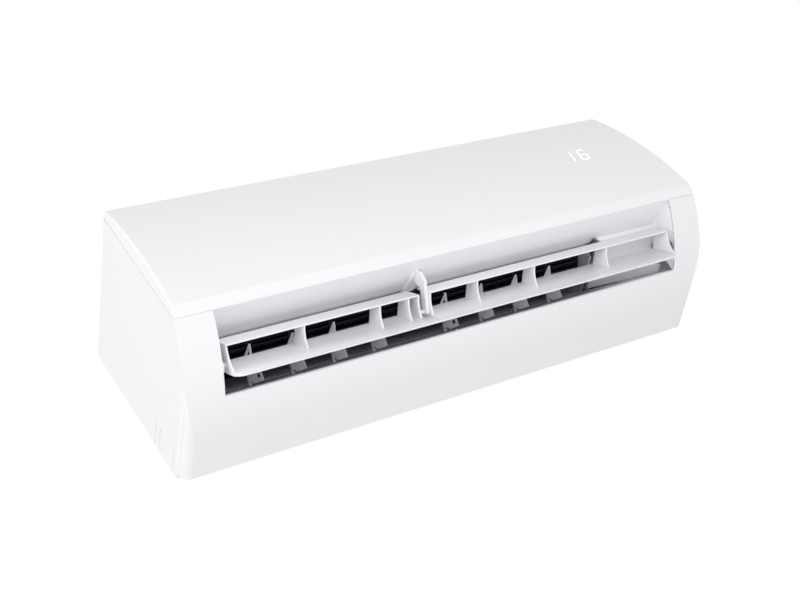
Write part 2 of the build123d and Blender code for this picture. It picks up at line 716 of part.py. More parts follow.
def make_centre_bracket():
    """Bent arm from the outlet's upper wall to the louver's centre pin, with a flat foot."""
    x0, x1 = bracket_x, bracket_x + bracket_thickness
    d, h = pivot
    front, knee, below, above = bracket_knee
    eye = bracket_eye_radius
    arm = [(d + 1.2, h - eye + 0.2), below, knee, front, *bracket_root, above, (d - 1.2, h + eye - 0.2)]
    foot = [(128, 69.5), (133, 67.4), (167, 54.5), (165.8, 50.5), (150, 55.5), (131, 63.5)]
    bracket = prism(arm, x0, x1) + prism(foot, x0 - 5, x1 + 5) + rod(x0, x1, pivot, eye)
    wall = prism([outlet_front(), wall_bend, tongue, (tongue[0], 120), (240, 120)], x0 - 10, x1 + 10)
    return bracket - wall - rod(x0 - 1, x1 + 1, pivot, louver_pin_radius + running)


# ---------------------------------------------------------------- louver
def opened(piece):
    """A louver piece, drawn closed, turned to its open rest position."""
    return piece.rotate(Axis((0, -pivot[0], pivot[1]), (1, 0, 0)), open_angle)


def under_disc(radius, x0, x1):
    return rod(x0, x1, (underside_flat, underside_radius), radius)


def blade_inner(depth):
    """Height of the closed blade's inner face, which bulges over its curved outer face."""
    middle = (blade_rear + blade_front) / 2
    share = (depth - middle) / (blade_front - middle)
    return underside(depth) + blade_middle - (blade_middle - blade_edge) * share ** 2


def blade_face():
    """Section of the closed blade, between two arcs."""
    rear, front = blade_rear, blade_front
    middle = (rear + front) / 2
    low = [(d, underside(d)) for d in (rear, middle, front)]
    high = [(d, blade_inner(d)) for d in (rear, middle, front)]
    return make_face([arc(*low), line(low[2], high[2]), arc(*reversed(high)), line(high[0], low[0])])


def make_louver_blade():
    x0, x1 = louver_left, louver_right
    whole = Pos(x0, 0, 0) * extrude(blade_face(), amount=x1 - x0, dir=(1, 0, 0))
    middle = -(blade_rear + blade_front) / 2
    plan = Pos((x0 + x1) / 2, middle) * Rectangle(x1 - x0, blade_front - blade_rear)
    plan = fillet(plan.vertices().filter_by(lambda corner: corner.Y < middle), blade_corner)
    blade = whole & extrude(plan, amount=underside_radius / 2)
    pocket = block((rib_x[3] + rib_thickness / 2, rib_x[4] - rib_thickness / 2), pocket_depths, (0, height))
    return opened(blade - (pocket & under_disc(underside_radius - blade_edge, x0, x1)))


def deflector_corners():
    _, way = along(deflector_front, deflector_rear, 1.0)
    up = (way[1] * deflector_thickness, -way[0] * deflector_thickness)
    f, r = deflector_front, deflector_rear
    return [f, r, (r[0] + up[0], r[1] + up[1]), (f[0] + up[0], f[1] + up[1])]


def deflector_height(depth):
    """Height of the closed deflector's lower face at a depth."""
    (d0, h0), (d1, h1) = deflector_rear, deflector_front
    return h0 + (h1 - h0) * (depth - d0) / (d1 - d0)


def make_louver_deflector():
    """Narrow upper blade, with a gap where the fixed centre bracket passes through it."""
    whole = prism(deflector_corners(), louver_left, louver_right)
    gap = block((rib_x[3] + rib_thickness / 2, rib_x[4] - rib_thickness / 2), (60, 190), (0, 90))
    return opened(whole - gap)


def rib_face(toe):
    """Rib between the blade and the deflector, with a hollow front edge, drawn closed."""
    f, r = deflector_front, (rib_back, deflector_height(rib_back))
    toe_top, toe_low = (toe, blade_inner(toe) + 0.6), (toe, underside(toe) + blade_edge / 2)
    heel = (rib_heel, underside(rib_heel) + blade_edge / 2)
    waist = (f[0] + 0.4 * (toe - f[0]), f[1] + 0.62 * (toe_top[1] - f[1]))
    return make_face([line(r, f), arc(f, waist, toe_top), line(toe_top, toe_low),
                      line(toe_low, heel), line(heel, r)])


def make_louver_ribs():
    """All ribs and both end plates, as separate solids that stand on the blade."""
    places = [(louver_left, end_toe)]
    places += [(x - rib_thickness / 2, rib_toe) for x in rib_x]
    places.append((louver_right - rib_thickness, end_toe))
    blade = Pos(louver_left - 1, 0, 0) * extrude(blade_face(), amount=louver_right - louver_left + 2,
                                                 dir=(1, 0, 0))
    ribs = []
    for x, toe in places:
        rib = Pos(x, 0, 0) * extrude(rib_face(toe), amount=rib_thickness, dir=(1, 0, 0))
        ribs.append(opened(rib - blade))
    return ribs


def make_louver_pins():
    """Left end pin and the centre pin between the two middle ribs."""
    left = rod(mouth_left - 6, louver_left, pivot, louver_pin_radius)
    centre = rod(rib_x[3] + rib_thickness / 2, rib_x[4] - rib_thickness / 2, pivot, louver_pin_radius)
    return [left, centre]


def make_louver_bush():
    bush = tube(mouth_left - 7, mouth_left, pivot, bush_radius, louver_pin_radius + running)
    flange = tube(mouth_left, mouth_left + 2, pivot, 9.0, louver_pin_radius + running)
    return bush + flange


def motor_axis():
    """Centre of the louver motor: its output shaft stands off-centre, below the body's axis."""
    return (pivot[0], pivot[1] + motor_offset)


def ear_places():
    d, h = motor_axis()
    return [(d - ear_reach, h), (d + ear_reach, h)]


def make_louver_motor():
    """Stepper motor behind the right cheek, with its two ears."""
    x = mouth_right + shell
    d, h = motor_axis()
    ears = block((x, x + ear_thickness), (d - ear_reach - 3, d + ear_reach + 3), (h - 3.5, h + 3.5))
    body = ears + rod(x, x + stepper_length, (d, h), stepper_radius)
    body -= rod(x - 1, x + stepper_length - 2, pivot, louver_pin_radius + running)
    return body - [rod(x - 1, x + ear_thickness + 1, place, ear_hole) for place in ear_places()]


def make_louver_motor_screws():
    x = mouth_right + shell
    face = x + ear_thickness
    return [rod(face, face + 2, place, 2.8) + rod(x, face, place, ear_hole) for place in ear_places()]


def make_louver_shaft():
    return rod(louver_right, mouth_right + shell + stepper_length - 3, pivot, louver_pin_radius)


# ---------------------------------------------------------------- vanes
def foot_frame(x):
    """Plane at a vane's foot: local x is down the air flow, y along X, z its pin's axis."""
    lip, bend = duct_points()[:2]
    foot, way = along(lip, bend, vane_axis_place)
    down = Vector(0, way[0], -way[1])
    pin = Vector(0, -way[1], -way[0])
    return Plane(origin=(x, -foot[0], foot[1]), x_dir=down, z_dir=pin)


def vane_frame(x):
    """The same plane, turned with the vane about the pin."""
    flat = foot_frame(x)
    turn = radians(vane_turn)
    return Plane(origin=flat.origin, x_dir=flat.x_dir * cos(turn) + flat.y_dir * sin(turn), z_dir=flat.z_dir)


def vane_outline(points, x):
    """Flat plate in a vane's own plane, through (along the flow, up the pin) points."""
    frame = vane_frame(x)
    corners = [frame.from_local_coords(Vector(u, -vane_thickness / 2, v)) for u, v in points]
    face = make_face(Polyline(*corners, close=True))
    return extrude(face, amount=vane_thickness, dir=frame.y_dir)


def vane_rod(x, u, v0, v1, radius):
    frame = vane_frame(x)
    origin = frame.from_local_coords(Vector(u, 0, v0))
    plane = Plane(origin=origin, x_dir=frame.x_dir, z_dir=frame.z_dir)
    return plane * extrude(Circle(radius), amount=v1 - v0)


def vane_box(x, u, w, v):
    """Box in a vane's frame: along the flow, across, and up the pin."""
    box = Box(u[1] - u[0], w[1] - w[0], v[1] - v[0], align=(Align.MIN,) * 3)
    return vane_frame(x) * (Pos(u[0], w[0], v[0]) * box)


def make_vane(x, windows):
    """Vane with its leg, the pin below it, and a slot with a pin for the link."""
    half = vane_leg / 2
    plate = vane_outline([(-half, touch_gap), (half, touch_gap), (half, 2 * half + 3), *vane_plate,
                          (-half, 4 * half + 3)], x)
    slot = (link_height - 1.0, link_height + link_thickness + 1.0)
    plate -= vane_box(x, (link_reach - 5, 30), (-5, 5), slot)
    if windows:
        plate -= vane_outline(vane_window, x)
        plate -= vane_outline(vane_hole, x)
    foot = vane_rod(x, 0, -duct_wall, 1.5, vane_pin_radius)
    pin = vane_rod(x, link_reach, slot[0] - 1, slot[1] + 1, link_pin_radius)
    return plate + foot + pin


def group(first):
    return [first + i * vane_spacing for i in range(vanes_in_group)]


def strip_block(first, extra):
    """Block of a foot strip, or of its window in the wall when it stands extra past both faces."""
    xs = group(first)
    frame = foot_frame((xs[0] + xs[-1]) / 2)
    half = (xs[-1] - xs[0]) / 2 + 12
    block_size = (strip_width, 2 * half, duct_wall + 2 * extra)
    low = Pos(-strip_width / 2, -half, -duct_wall - extra)
    return frame * (low * Box(*block_size, align=(Align.MIN,) * 3))


def make_vane_strip(first):
    strip = strip_block(first, 0.0)
    return strip - [vane_rod(x, 0, -duct_wall - 1, 1, vane_pin_radius + running) for x in group(first)]


def make_vane_link(first):
    """Flat bar across a group of vanes, with a hole for each vane's pin."""
    xs = group(first)
    frame = foot_frame((xs[0] + xs[-1]) / 2)
    half = (xs[-1] - xs[0]) / 2 + 5
    turn = radians(vane_turn)
    centre = Pos(link_reach * cos(turn) - link_width / 2, link_reach * sin(turn) - half, link_height)
    bar = frame * (centre * Box(link_width, 2 * half, link_thickness, align=(Align.MIN,) * 3))
    holes = [vane_rod(x, link_reach, link_height - 1, link_height + link_thickness + 1,
                      link_pin_radius + touch_gap) for x in xs]
    return bar - holes


# ---------------------------------------------------------------- fan
def fan_blade_face(index):
    """One forward-curved blade of the rotor: a thin crescent between two radii."""
    turn = 2 * pi * index / blade_count
    inner, outer = fan_blade_inner, fan_radius
    lag = radians(12)

    def polar(radius, angle):
        return (fan_centre[0] + radius * cos(turn + angle), fan_centre[1] + radius * sin(turn + angle))

    thick = fan_blade_thickness
    a, b = polar(inner, 0.0), polar(outer - 0.3, lag)
    mid = polar((inner + outer) / 2, lag * 0.25)
    mid2 = polar((inner + outer) / 2, lag * 0.25 + thick / outer)
    a2, b2 = polar(inner, thick * 0.6 / inner), polar(outer - 0.3, lag + thick * 0.6 / outer)
    return make_face([arc(a, mid, b), line(b, b2), arc(b2, mid2, a2), line(a2, a)])


def make_fan_rotor():
    span = fan_right - fan_left
    step = (span - disc_thickness) / (disc_count - 1)
    discs = []
    for i in range(disc_count):
        x = fan_left + i * step
        disc = rod(x, x + disc_thickness, fan_centre, fan_radius)
        if 0 < i < disc_count - 1:
            disc -= rod(x - 1, x + disc_thickness + 1, fan_centre, fan_blade_inner - 4)
        else:
            disc -= rod(x - 1, x + disc_thickness + 1, fan_centre, shaft_radius)
        discs.append(disc)
    blades = [Pos(fan_left + 0.5, 0, 0) * extrude(fan_blade_face(i), amount=span - 1, dir=(1, 0, 0))
              for i in range(blade_count)]
    hub = tube(fan_right - 14, fan_right, fan_centre, 10.0, shaft_radius)
    return Part() + discs + blades + [hub]


def make_fan_stub():
    return rod(mouth_left - 9, fan_left + disc_thickness, fan_centre, shaft_radius)


def make_motor_shaft():
    return rod(fan_right - 14, motor_right - 8, fan_centre, shaft_radius)


def make_fan_bearing():
    return tube(mouth_left - 6, mouth_left + 3, fan_centre, 8.0, shaft_radius + running)


def make_bearing_mount():
    ring = tube(mouth_left - duct_wall, mouth_left, fan_centre, 12.0, 8.0)
    lips = tube(mouth_left, mouth_left + 2, fan_centre, 14.0, 8.0)
    return ring + lips


def make_fan_motor():
    body = rod(motor_left, motor_right, fan_centre, motor_radius - 4)
    band = rod(motor_left + 4, motor_right - 4, fan_centre, motor_radius - 2)
    neck = rod(motor_left - 4, motor_left, fan_centre, 9.0)
    bore = rod(motor_left - 5, motor_right - 7, fan_centre, shaft_radius + running)
    return body + band + neck - bore


def make_motor_rings():
    """Two rubber rings that seat the motor in its cradle."""
    return [tube(x, x + cradle_thickness, fan_centre, motor_radius, motor_radius - 2) for x in cradle_x]


def make_motor_clamp():
    """Front half band over the motor, screwed to the cradle above and below."""
    d, h = fan_centre
    x0, x1 = cradle_x[0], cradle_x[1] + cradle_thickness
    band = tube(x0, x1, fan_centre, motor_radius + clamp_thickness, motor_radius)
    band &= block((x0, x1), (d + 3, d + 60), (h - 60, h + 60))
    for h0 in (h + motor_radius - 1, h - motor_radius - flange_height):
        flange = block((x0, x1), (d + 3, d + 6), (h0, h0 + flange_height + 1))
        band += flange - rod(x0 - 1, x1 + 1, fan_centre, motor_radius)
    return band


def make_clamp_screws():
    d, h = fan_centre
    x = cradle_x[0] + cradle_thickness / 2
    reach = motor_radius + flange_height - 4.0
    return [stub(x, place, d + 6, d + 8.5, 3.5) for place in (h + reach, h - reach)]


# ---------------------------------------------------------------- heat exchanger
def leg_outline(leg, extra=0.0):
    start, end = leg
    _, (ux, uy) = along(start, end, 1.0)
    half = fin_depth / 2 + extra
    nx, ny = uy * half, -ux * half
    s = (start[0] - ux * extra, start[1] - uy * extra)
    e = (end[0] + ux * extra, end[1] + uy * extra)
    return [(s[0] + nx, s[1] + ny), (e[0] + nx, e[1] + ny), (e[0] - nx, e[1] - ny), (s[0] - nx, s[1] - ny)]


def make_fins(leg):
    return prism(leg_outline(leg), fins_left, fins_right)


def corner_tie(first, second):
    """Outline that joins the end of one leg's plate to the start of the next."""
    _, a, b, _ = leg_outline(first)
    d, _, _, c = leg_outline(second)
    return [b, a, d, c]


def make_end_plates():
    """Sheet plate at each end of the coil, which ties its three legs together."""
    plates = []
    for x in (fins_left - end_plate, fins_right):
        plate = Part()
        for leg in (front_leg, upper_leg, rear_leg):
            plate += prism(leg_outline(leg, plate_edge), x, x + end_plate)
        for first, second in ((front_leg, upper_leg), (upper_leg, rear_leg)):
            plate += prism(corner_tie(first, second), x, x + end_plate)
        plates.append(plate)
    return plates


def leg_places(leg):
    """Places of the tubes across one leg: two columns, one pitch apart."""
    start, end = leg
    span = hypot(end[0] - start[0], end[1] - start[1])
    _, (ux, uy) = along(start, end, 1.0)
    rows = int((span - 8) // tube_pitch) + 1
    first = (span - (rows - 1) * tube_pitch) / 2
    columns = []
    for side in (-6.5, 6.5):
        column = []
        for i in range(rows):
            t = first + i * tube_pitch
            column.append((start[0] + ux * t + uy * side, start[1] + uy * t - ux * side))
        columns.append(column)
    return columns


def return_bend(a, b, x, way):
    """Half ring of tube that joins two neighbouring tubes beyond an end plate."""
    pa, pb = Vector(x, -a[0], a[1]), Vector(x, -b[0], b[1])
    centre = (pa + pb) * 0.5
    axis = Axis(centre, Vector(1, 0, 0).cross(pb - pa).normalized())
    ring = Plane(origin=pa, z_dir=(1, 0, 0)) * Circle(tube_radius)
    bend = revolve(ring, axis=axis, revolution_arc=180)
    reach = bend.bounding_box()
    outside = reach.max.X > x + 1 if way > 0 else reach.min.X < x - 1
    return bend if outside else revolve(ring, axis=axis, revolution_arc=-180)


def make_coil_bends():
    bends = []
    for leg in (front_leg, upper_leg, rear_leg):
        for column in leg_places(leg):
            for i in range(0, len(column) - 1, 2):
                bends.append(return_bend(column[i], column[i + 1], fins_left - end_plate, -1))
            for i in range(1, len(column) - 1, 2):
                bends.append(return_bend(column[i], column[i + 1], fins_right + end_plate, 1))
    return bends


def make_pipe(points, radii, radius):
    """Bent copper pipe through (x, depth, height) points."""
    path = FilletPolyline([(x, -d, h) for x, d, h in points], radius=radii)
    start = path % 0
    face = Plane(origin=path @ 0, z_dir=start) * Circle(radius)
    return sweep(face, path=path)


def gas_route():
    d, h = pipe_run_gas
    start = leg_places(rear_leg)[0][0]
    x = fins_right + gas_pipe_turn
    return [(fins_right + end_plate, *start), (x - 4, *start), (x, d + 2, 120), (x, d, h),
            (pipe_end_x, d, h)]


def liquid_route():
    d, h = pipe_run_liquid
    start = leg_places(rear_leg)[1][0]
    x = fins_right + liquid_pipe_turn
    return [(fins_right + end_plate, *start), (x - 3, *start), (x, d + 6, 150), (x, d, h),
            (pipe_end_x, d, h)]


def pipe_runs():
    return ((pipe_run_gas, gas_pipe_radius), (pipe_run_liquid, liquid_pipe_radius))


def make_flare_nuts():
    nuts = []
    for (d, h), radius in pipe_runs():
        plane = Plane(origin=(pipe_end_x - 4, -d, h), x_dir=(0, 1, 0), z_dir=(1, 0, 0))
        nut = plane * extrude(RegularPolygon(radius * 1.9, 6), amount=18)
        nuts.append(nut - rod(pipe_end_x - 5, pipe_end_x + 30, (d, h), radius + 0.05))
    return nuts


def make_sleeve(place, radius):
    return tube(pipe_end_x + 24, fins_right + 4, place, radius + foam, radius + 0.05)


def make_pipe_clamp():
    """Strap across the channel that holds both sleeves."""
    x0, x1 = clamp_x, clamp_x + clamp_width
    strap = block((x0, x1), (8, channel_depth), (shell, channel_height))
    for place, radius in pipe_runs():
        strap -= rod(x0 - 1, x1 + 1, place, radius + foam)
    return strap


# ---------------------------------------------------------------- wall plate
def make_wall_plate():
    x = plate_width / 2
    plate = block((-x, x), (0, plate_thickness), (plate_bottom, plate_bottom + plate_height))
    for sx in (-1, 1):
        for sz in (-1, 1):
            place = (sx * screw_spacing_x / 2, origin_height + sz * screw_spacing_z / 2)
            plate -= stub(*place, -1, 5, screw_hole_radius)
    for px in (-110, 0, 110):
        plate -= block((px - 38, px + 38), (-1, 5), (plate_bottom + 30, plate_bottom + 110))
    t = plate_thickness
    for hx in (-hook_x, hook_x):
        half = hook_width / 2
        plate += block((hx - half, hx + half), (0, 8.4), (hook_tab_height, hook_tab_height + t))
        plate += block((hx - half, hx + half), (8.4 - t, 8.4), (hook_tab_height, hook_tab_height + 9))
    return plate


# ---------------------------------------------------------------- filters
def make_filter(span):
    """Flexible frame with its bars; the net is a piece of its own."""
    x0, x1 = span
    d0, d1 = filter_depth, filter_depth + filter_thickness
    frame = block((x0, x1), (d0, d1), (filter_bottom, filter_top))
    columns, rows = 7, 4
    inner = (x0 + filter_border, x1 - filter_border)
    low, high = filter_bottom + filter_border, filter_top - 14.0
    step_x, step_h = (inner[1] - inner[0]) / columns, (high - low) / rows
    cuts = []
    half = filter_bar / 2
    for i in range(columns):
        for j in range(rows):
            x, h = inner[0] + i * step_x, low + j * step_h
            cuts.append(block((x + half, x + step_x - half), (d0 - 1, d1 + 1), (h + half, h + step_h - half)))
    middle = d0 + filter_thickness / 2
    net = block((inner[0] - 2, inner[1] + 2), (middle - 0.2, middle + 0.2), (low - 2, high + 2))
    return frame - cuts - net, net


def make_filter_guides():
    """Three upright channels on the casing in which the filters slide."""
    d0, d1 = filter_depth - touch_gap, filter_depth + filter_thickness + touch_gap
    top = height - shell
    guides = []
    places = ((filter_left[0] - 2, filter_left[0] + 3), (filter_left[1] - 3, filter_right[0] + 3),
              (filter_right[1] - 3, filter_right[1] + 2))
    foot = filter_bottom - 2
    for x0, x1 in places:
        outline = [(d0 - guide_wall, foot), (front_inner_depth(foot), foot),
                   (front_inner_depth(top), top), (d0 - guide_wall, top)]
        guides.append(prism(outline, x0, x1))
    slots = [block((s[0] - touch_gap, s[1] + touch_gap), (d0, d1), (filter_bottom - touch_gap, height))
             for s in (filter_left, filter_right)]
    return [g - slots for g in guides]


# ---------------------------------------------------------------- electrical parts
def make_electrical_box():
    w = box_wall
    box = block(box_x, box_depth, box_height)
    box -= block((box_x[0] + w, box_x[1] - w), (box_depth[0] + w, box_depth[1] + 1),
                 (box_height[0] + w, box_height[1] - w))
    posts = [stub(x, h, box_depth[0] + w, box_depth[0] + w + 4, 2.5)
             for x in (box_x[0] + 12, box_x[1] - 12) for h in (box_height[0] + 12, box_height[1] - 12)]
    return box + posts


def make_box_cover():
    """Cover of the electrical box, with four posts that carry the display board."""
    d = box_depth[1] + box_wall
    cover = block(box_x, (box_depth[1], d), box_height)
    posts = [stub(x, h, d, display_board_depth, 3.0)
             for x in (box_x[0] + 5, display_x[1] - 6)
             for h in (display_height[0] + 5, display_height[1] - 5)]
    return cover + posts


def board_front():
    return box_depth[0] + box_wall + 4 + board


def make_control_board():
    d1 = board_front()
    return block((box_x[0] + 6, box_x[1] - 6), (d1 - board, d1), (box_height[0] + 6, box_height[1] - 6))


def make_board_parts():
    """Larger components on the control board."""
    d = board_front()
    x, h = box_x[0] + 6, box_height[0] + 6
    top = box_depth[1] - tall_part_gap
    parts = [stub(x + 22, h + 24, d, top, 9.0), stub(x + 46, h + 20, d, top - 10, 5.0)]
    parts.append(block((x + 60, x + 80), (d, top - 13), (h + 12, h + 28)))
    parts.append(block((x + 12, x + 42), (d, top - 6), (h + 60, h + 85)))
    parts.append(block((x + 56, x + 74), (d, top - 12), (h + 50, h + 66)))
    parts.append(block((x + 84, x + 104), (d, top - 18), (h + 90, h + 118)))
    return parts


def make_terminal_block():
    d0, d1 = box_depth[0] + 6, box_depth[0] + 26
    body = block((box_x[1] - 52, box_x[1] - 4), (d0, d1), (box_height[0] - 20, box_height[0]))
    cuts = [block((box_x[1] - 50 + i * 9, box_x[1] - 43 + i * 9), (d0 + 6, d1 + 1),
                  (box_height[0] - 18, box_height[0] - 3)) for i in range(5)]
    return body - cuts


def make_display_board():
    d = display_board_depth
    return block(display_x, (d, d + board), display_height)


def module_x():
    """Span of the display module, behind both figures."""
    reach = digit_width / 2 + digit_height / 2 * tan(radians(digit_slant)) + 1
    return (digit_places[0] - reach, digit_places[1] + reach)


def make_display_module():
    d = display_board_depth + board
    return block(module_x(), (d, d + 6), (digit_centre - 15, digit_centre + 15))


def make_button_switch():
    x, h = button_place
    d = display_board_depth + board
    return block((x - 3, x + 3), (d, d + 2.0), (h - 3, h + 3))


def make_button():
    """Manual button: a flanged cap that stands just behind the front panel."""
    x, h = button_place
    back = display_board_depth + board + 2.0 + button_travel
    flange = button_radius + 1.2
    inner = front_inner_depth(h - flange) - touch_gap
    cap = stub(x, h, back, inner + shell + 1.0, button_radius)
    return cap + stub(x, h, back, inner, flange)


def make_casing_screw():
    """Screw through the lip of the outlet, under its cover."""
    lip, bend = duct_points()[:2]
    foot, way = along(lip, bend, 5.0)
    plane = Plane(origin=(-20.0, -foot[0], foot[1]), x_dir=(1, 0, 0), z_dir=(0, -way[1], -way[0]))
    return plane * extrude(Circle(3.6), amount=1.6)


# ---------------------------------------------------------------- write every node
def write_shell():
    panel, segments = make_front_panel()
    save("front_panel", panel)
    save("display_digits", segments)
    save("front_casing", make_front_casing())
    save("chassis", make_chassis())
    save("outlet_frame", make_outlet_frame())
    save("duct_side_right", make_duct_side())
    save("drain_pan", make_drain_pan())
    save("mounting_plate", make_wall_plate())
    save("screws", make_clamp_screws() + make_louver_motor_screws() + [make_casing_screw()])


def write_louver():
    save("louver_blade", make_louver_blade())
    save("louver_deflector", make_louver_deflector())
    save("louver_ribs", make_louver_ribs())
    save("louver_pins", make_louver_pins())
    save("louver_shaft", make_louver_shaft())
    save("louver_bush", make_louver_bush())
    save("louver_motor", make_louver_motor())
    save("louver_centre_bracket", make_centre_bracket())


def write_vanes():
    number = 1
    for side, first in (("left", vane_first_left), ("right", vane_first_right)):
        for i, x in enumerate(group(first)):
            save("vane_%d" % number, make_vane(x, windows=(i == 0)))
            number += 1
        save("vane_link_" + side, make_vane_link(first))
    save("vane_strips", [make_vane_strip(vane_first_left), make_vane_strip(vane_first_right)])


def write_fan():
    save("fan_rotor", make_fan_rotor())
    save("fan_stub_shaft", make_fan_stub())
    save("motor_shaft", make_motor_shaft())
    save("fan_bearing", make_fan_bearing())
    save("bearing_mount", make_bearing_mount())
    save("fan_motor", make_fan_motor())
    save("motor_rings", make_motor_rings())
    save("motor_clamp", make_motor_clamp())


def write_coil():
    save("coil_front", make_fins(front_leg))
    save("coil_upper", make_fins(upper_leg))
    save("coil_rear", make_fins(rear_leg))
    save("coil_end_plates", make_end_plates())
    save("coil_return_bends", make_coil_bends())
    save("gas_pipe", make_pipe(gas_route(), (14, 20, 24), gas_pipe_radius))
    save("liquid_pipe", make_pipe(liquid_route(), (12, 16, 20), liquid_pipe_radius))
    save("gas_pipe_sleeve", make_sleeve(pipe_run_gas, gas_pipe_radius))
    save("liquid_pipe_sleeve", make_sleeve(pipe_run_liquid, liquid_pipe_radius))
    save("flare_nuts", make_flare_nuts())
    save("pipe_clamp", make_pipe_clamp())


def write_filters():
    for side, span in (("left", filter_left), ("right", filter_right)):
        frame, net = make_filter(span)
        save("filter_frame_" + side, frame)
        save("filter_net_" + side, net)
    save("filter_guides", make_filter_guides())


def write_electrical():
    save("electrical_box", make_electrical_box())
    save("electrical_box_cover", make_box_cover())
    save("control_board", make_control_board())
    save("control_board_parts", make_board_parts())
    save("terminal_block", make_terminal_block())
    save("display_board", make_display_board())
    save("display_board_parts", [make_display_module(), make_button_switch()])
    save("manual_button", make_button())


write_shell()
write_louver()
write_vanes()
write_fan()
write_coil()
write_filters()
write_electrical()
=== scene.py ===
import json
import math

import bmesh
import bpy
import numpy as np
from mathutils import Matrix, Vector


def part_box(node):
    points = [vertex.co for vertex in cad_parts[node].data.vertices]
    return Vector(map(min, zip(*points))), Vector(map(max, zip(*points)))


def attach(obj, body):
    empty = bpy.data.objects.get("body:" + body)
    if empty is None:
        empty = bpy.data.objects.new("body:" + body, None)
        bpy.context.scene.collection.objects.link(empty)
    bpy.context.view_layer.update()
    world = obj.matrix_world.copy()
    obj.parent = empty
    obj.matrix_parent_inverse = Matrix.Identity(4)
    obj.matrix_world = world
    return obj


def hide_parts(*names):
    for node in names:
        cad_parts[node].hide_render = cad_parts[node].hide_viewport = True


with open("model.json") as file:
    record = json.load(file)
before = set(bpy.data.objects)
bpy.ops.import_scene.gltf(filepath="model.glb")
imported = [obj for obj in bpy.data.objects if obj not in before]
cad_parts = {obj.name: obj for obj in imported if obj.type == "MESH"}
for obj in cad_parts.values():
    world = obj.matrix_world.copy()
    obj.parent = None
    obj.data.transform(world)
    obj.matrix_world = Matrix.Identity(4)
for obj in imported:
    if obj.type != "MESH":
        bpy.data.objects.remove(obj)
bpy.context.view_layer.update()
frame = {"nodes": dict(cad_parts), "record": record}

# ---------------------------------------------------------------- studio
# A plain white studio: a pale floor well below the unit, white surroundings, and large soft lamps to
# the left, in front, below and behind. The unit hangs as on its wall, seen from the left and below.
mm = 0.001
eye = (-0.91617, -1.00322, -1.1286)             # metres: where the photo was taken from
to_right = (0.8221, -0.1421, -0.5513)           # and the camera's axes
to_up = (0.2128, -0.8215, 0.5291)
forward = (0.5280, 0.5523, 0.6451)
lens_mm, sensor_mm = 59.97, 36.0
photo_width, centre_off = 800.0, (1.0, 0.3)     # pixels: the lens' centre in the photo, from its middle


def in_scene(name, data):
    """New object with this data, linked to the scene."""
    made = bpy.data.objects.new(name, data)
    bpy.context.scene.collection.objects.link(made)
    return made


def turned(axes, place):
    """Matrix of an object at a place, with the rows of axes as its own X, Y and Z."""
    columns = np.array(axes).T
    return Matrix([[*columns[i], place[i]] for i in range(3)] + [[0, 0, 0, 1]])


lens = bpy.data.cameras.new("camera")
lens.lens, lens.sensor_width = lens_mm, sensor_mm
lens.shift_x, lens.shift_y = -centre_off[0] / photo_width, centre_off[1] / photo_width
lens.clip_start = 0.05
camera = in_scene("camera", lens)
camera.matrix_world = turned([to_right, to_up, [-c for c in forward]], eye)
bpy.context.scene.camera = camera
bpy.context.scene.view_settings.view_transform = "Standard"

lamp_aim = (0.0, -0.1, 0.0)     # the middle of the unit


def lamp(name, place, size, watts):
    """Square area lamp at a place, turned to the unit."""
    data = bpy.data.lights.new(name, "AREA")
    data.shape, data.size, data.energy = "SQUARE", size, watts
    away = np.array(place) - np.array(lamp_aim)
    away /= np.linalg.norm(away)
    side = np.cross((0.0, 0.0, 1.0), away)
    side /= np.linalg.norm(side)
    in_scene(name, data).matrix_world = turned([side, np.cross(away, side), away], place)


lamp("lamp_left", (-2.3, -0.4, 0.0), 1.8, 18)
lamp("lamp_front", (-0.6, -1.8, -1.2), 1.0, 14)
lamp("lamp_below", (-0.1, -0.7, -1.9), 1.6, 4)
lamp("lamp_behind", (0.8, 2.4, 1.2), 2.0, 14)


def node(tree, kind, inputs=(), **settings):
    """New shader node with its settings; inputs gives a number or a linked socket for each socket."""
    made = tree.nodes.new("ShaderNode" + kind)
    for key, value in settings.items():
        setattr(made, key, value)
    for key, value in dict(inputs).items():
        if isinstance(value, bpy.types.NodeSocket):
            tree.links.new(value, made.inputs[key])
        else:
            made.inputs[key].default_value = value
    return made


def calc(tree, operation, *values, clamp=False):
    """Output of one Math node."""
    return node(tree, "Math", dict(enumerate(values)), operation=operation, use_clamp=clamp).outputs[0]


def shown_white(tree, seen, lit):
    """Mixes two closures: 'seen' for camera, glossy and transmission rays, 'lit' for all the others."""
    path = node(tree, "LightPath").outputs
    total = path["Is Camera Ray"]
    for kind in ("Is Glossy Ray", "Is Transmission Ray"):
        total = calc(tree, "ADD", total, path[kind], clamp=True)
    return node(tree, "MixShader", {0: total, 1: lit, 2: seen}).outputs[0]


soft_colour, soft_strength = (0.985, 0.975, 1.0, 1), 0.63
world = bpy.data.worlds.new("studio")
bpy.context.scene.world = world
world.use_nodes = True
sky = world.node_tree
white = sky.nodes["Background"]
white.inputs["Color"].default_value = (1, 1, 1, 1)
soft = node(sky, "Background", {"Color": soft_colour, "Strength": soft_strength})
shown = shown_white(sky, white.outputs[0], soft.outputs[0])
sky.links.new(shown, sky.nodes["World Output"].inputs["Surface"])

floor_drop, floor_size = 2.1, 30.0
floor_grey, floor_rough = 0.93, 0.8
half = floor_size / 2
data = bpy.data.meshes.new("floor")
data.from_pydata([(x * half, y * half, -floor_drop) for x, y in ((-1, -1), (1, -1), (1, 1), (-1, 1))],
                 [], [(0, 1, 2, 3)])
in_scene("floor", data)
paint = bpy.data.materials.new("floor_paint")
paint.use_nodes = True
painted = paint.node_tree.nodes["Principled BSDF"].inputs
painted["Base Color"].default_value = (floor_grey, floor_grey, floor_grey, 1)
painted["Roughness"].default_value = floor_rough
data.materials.append(paint)

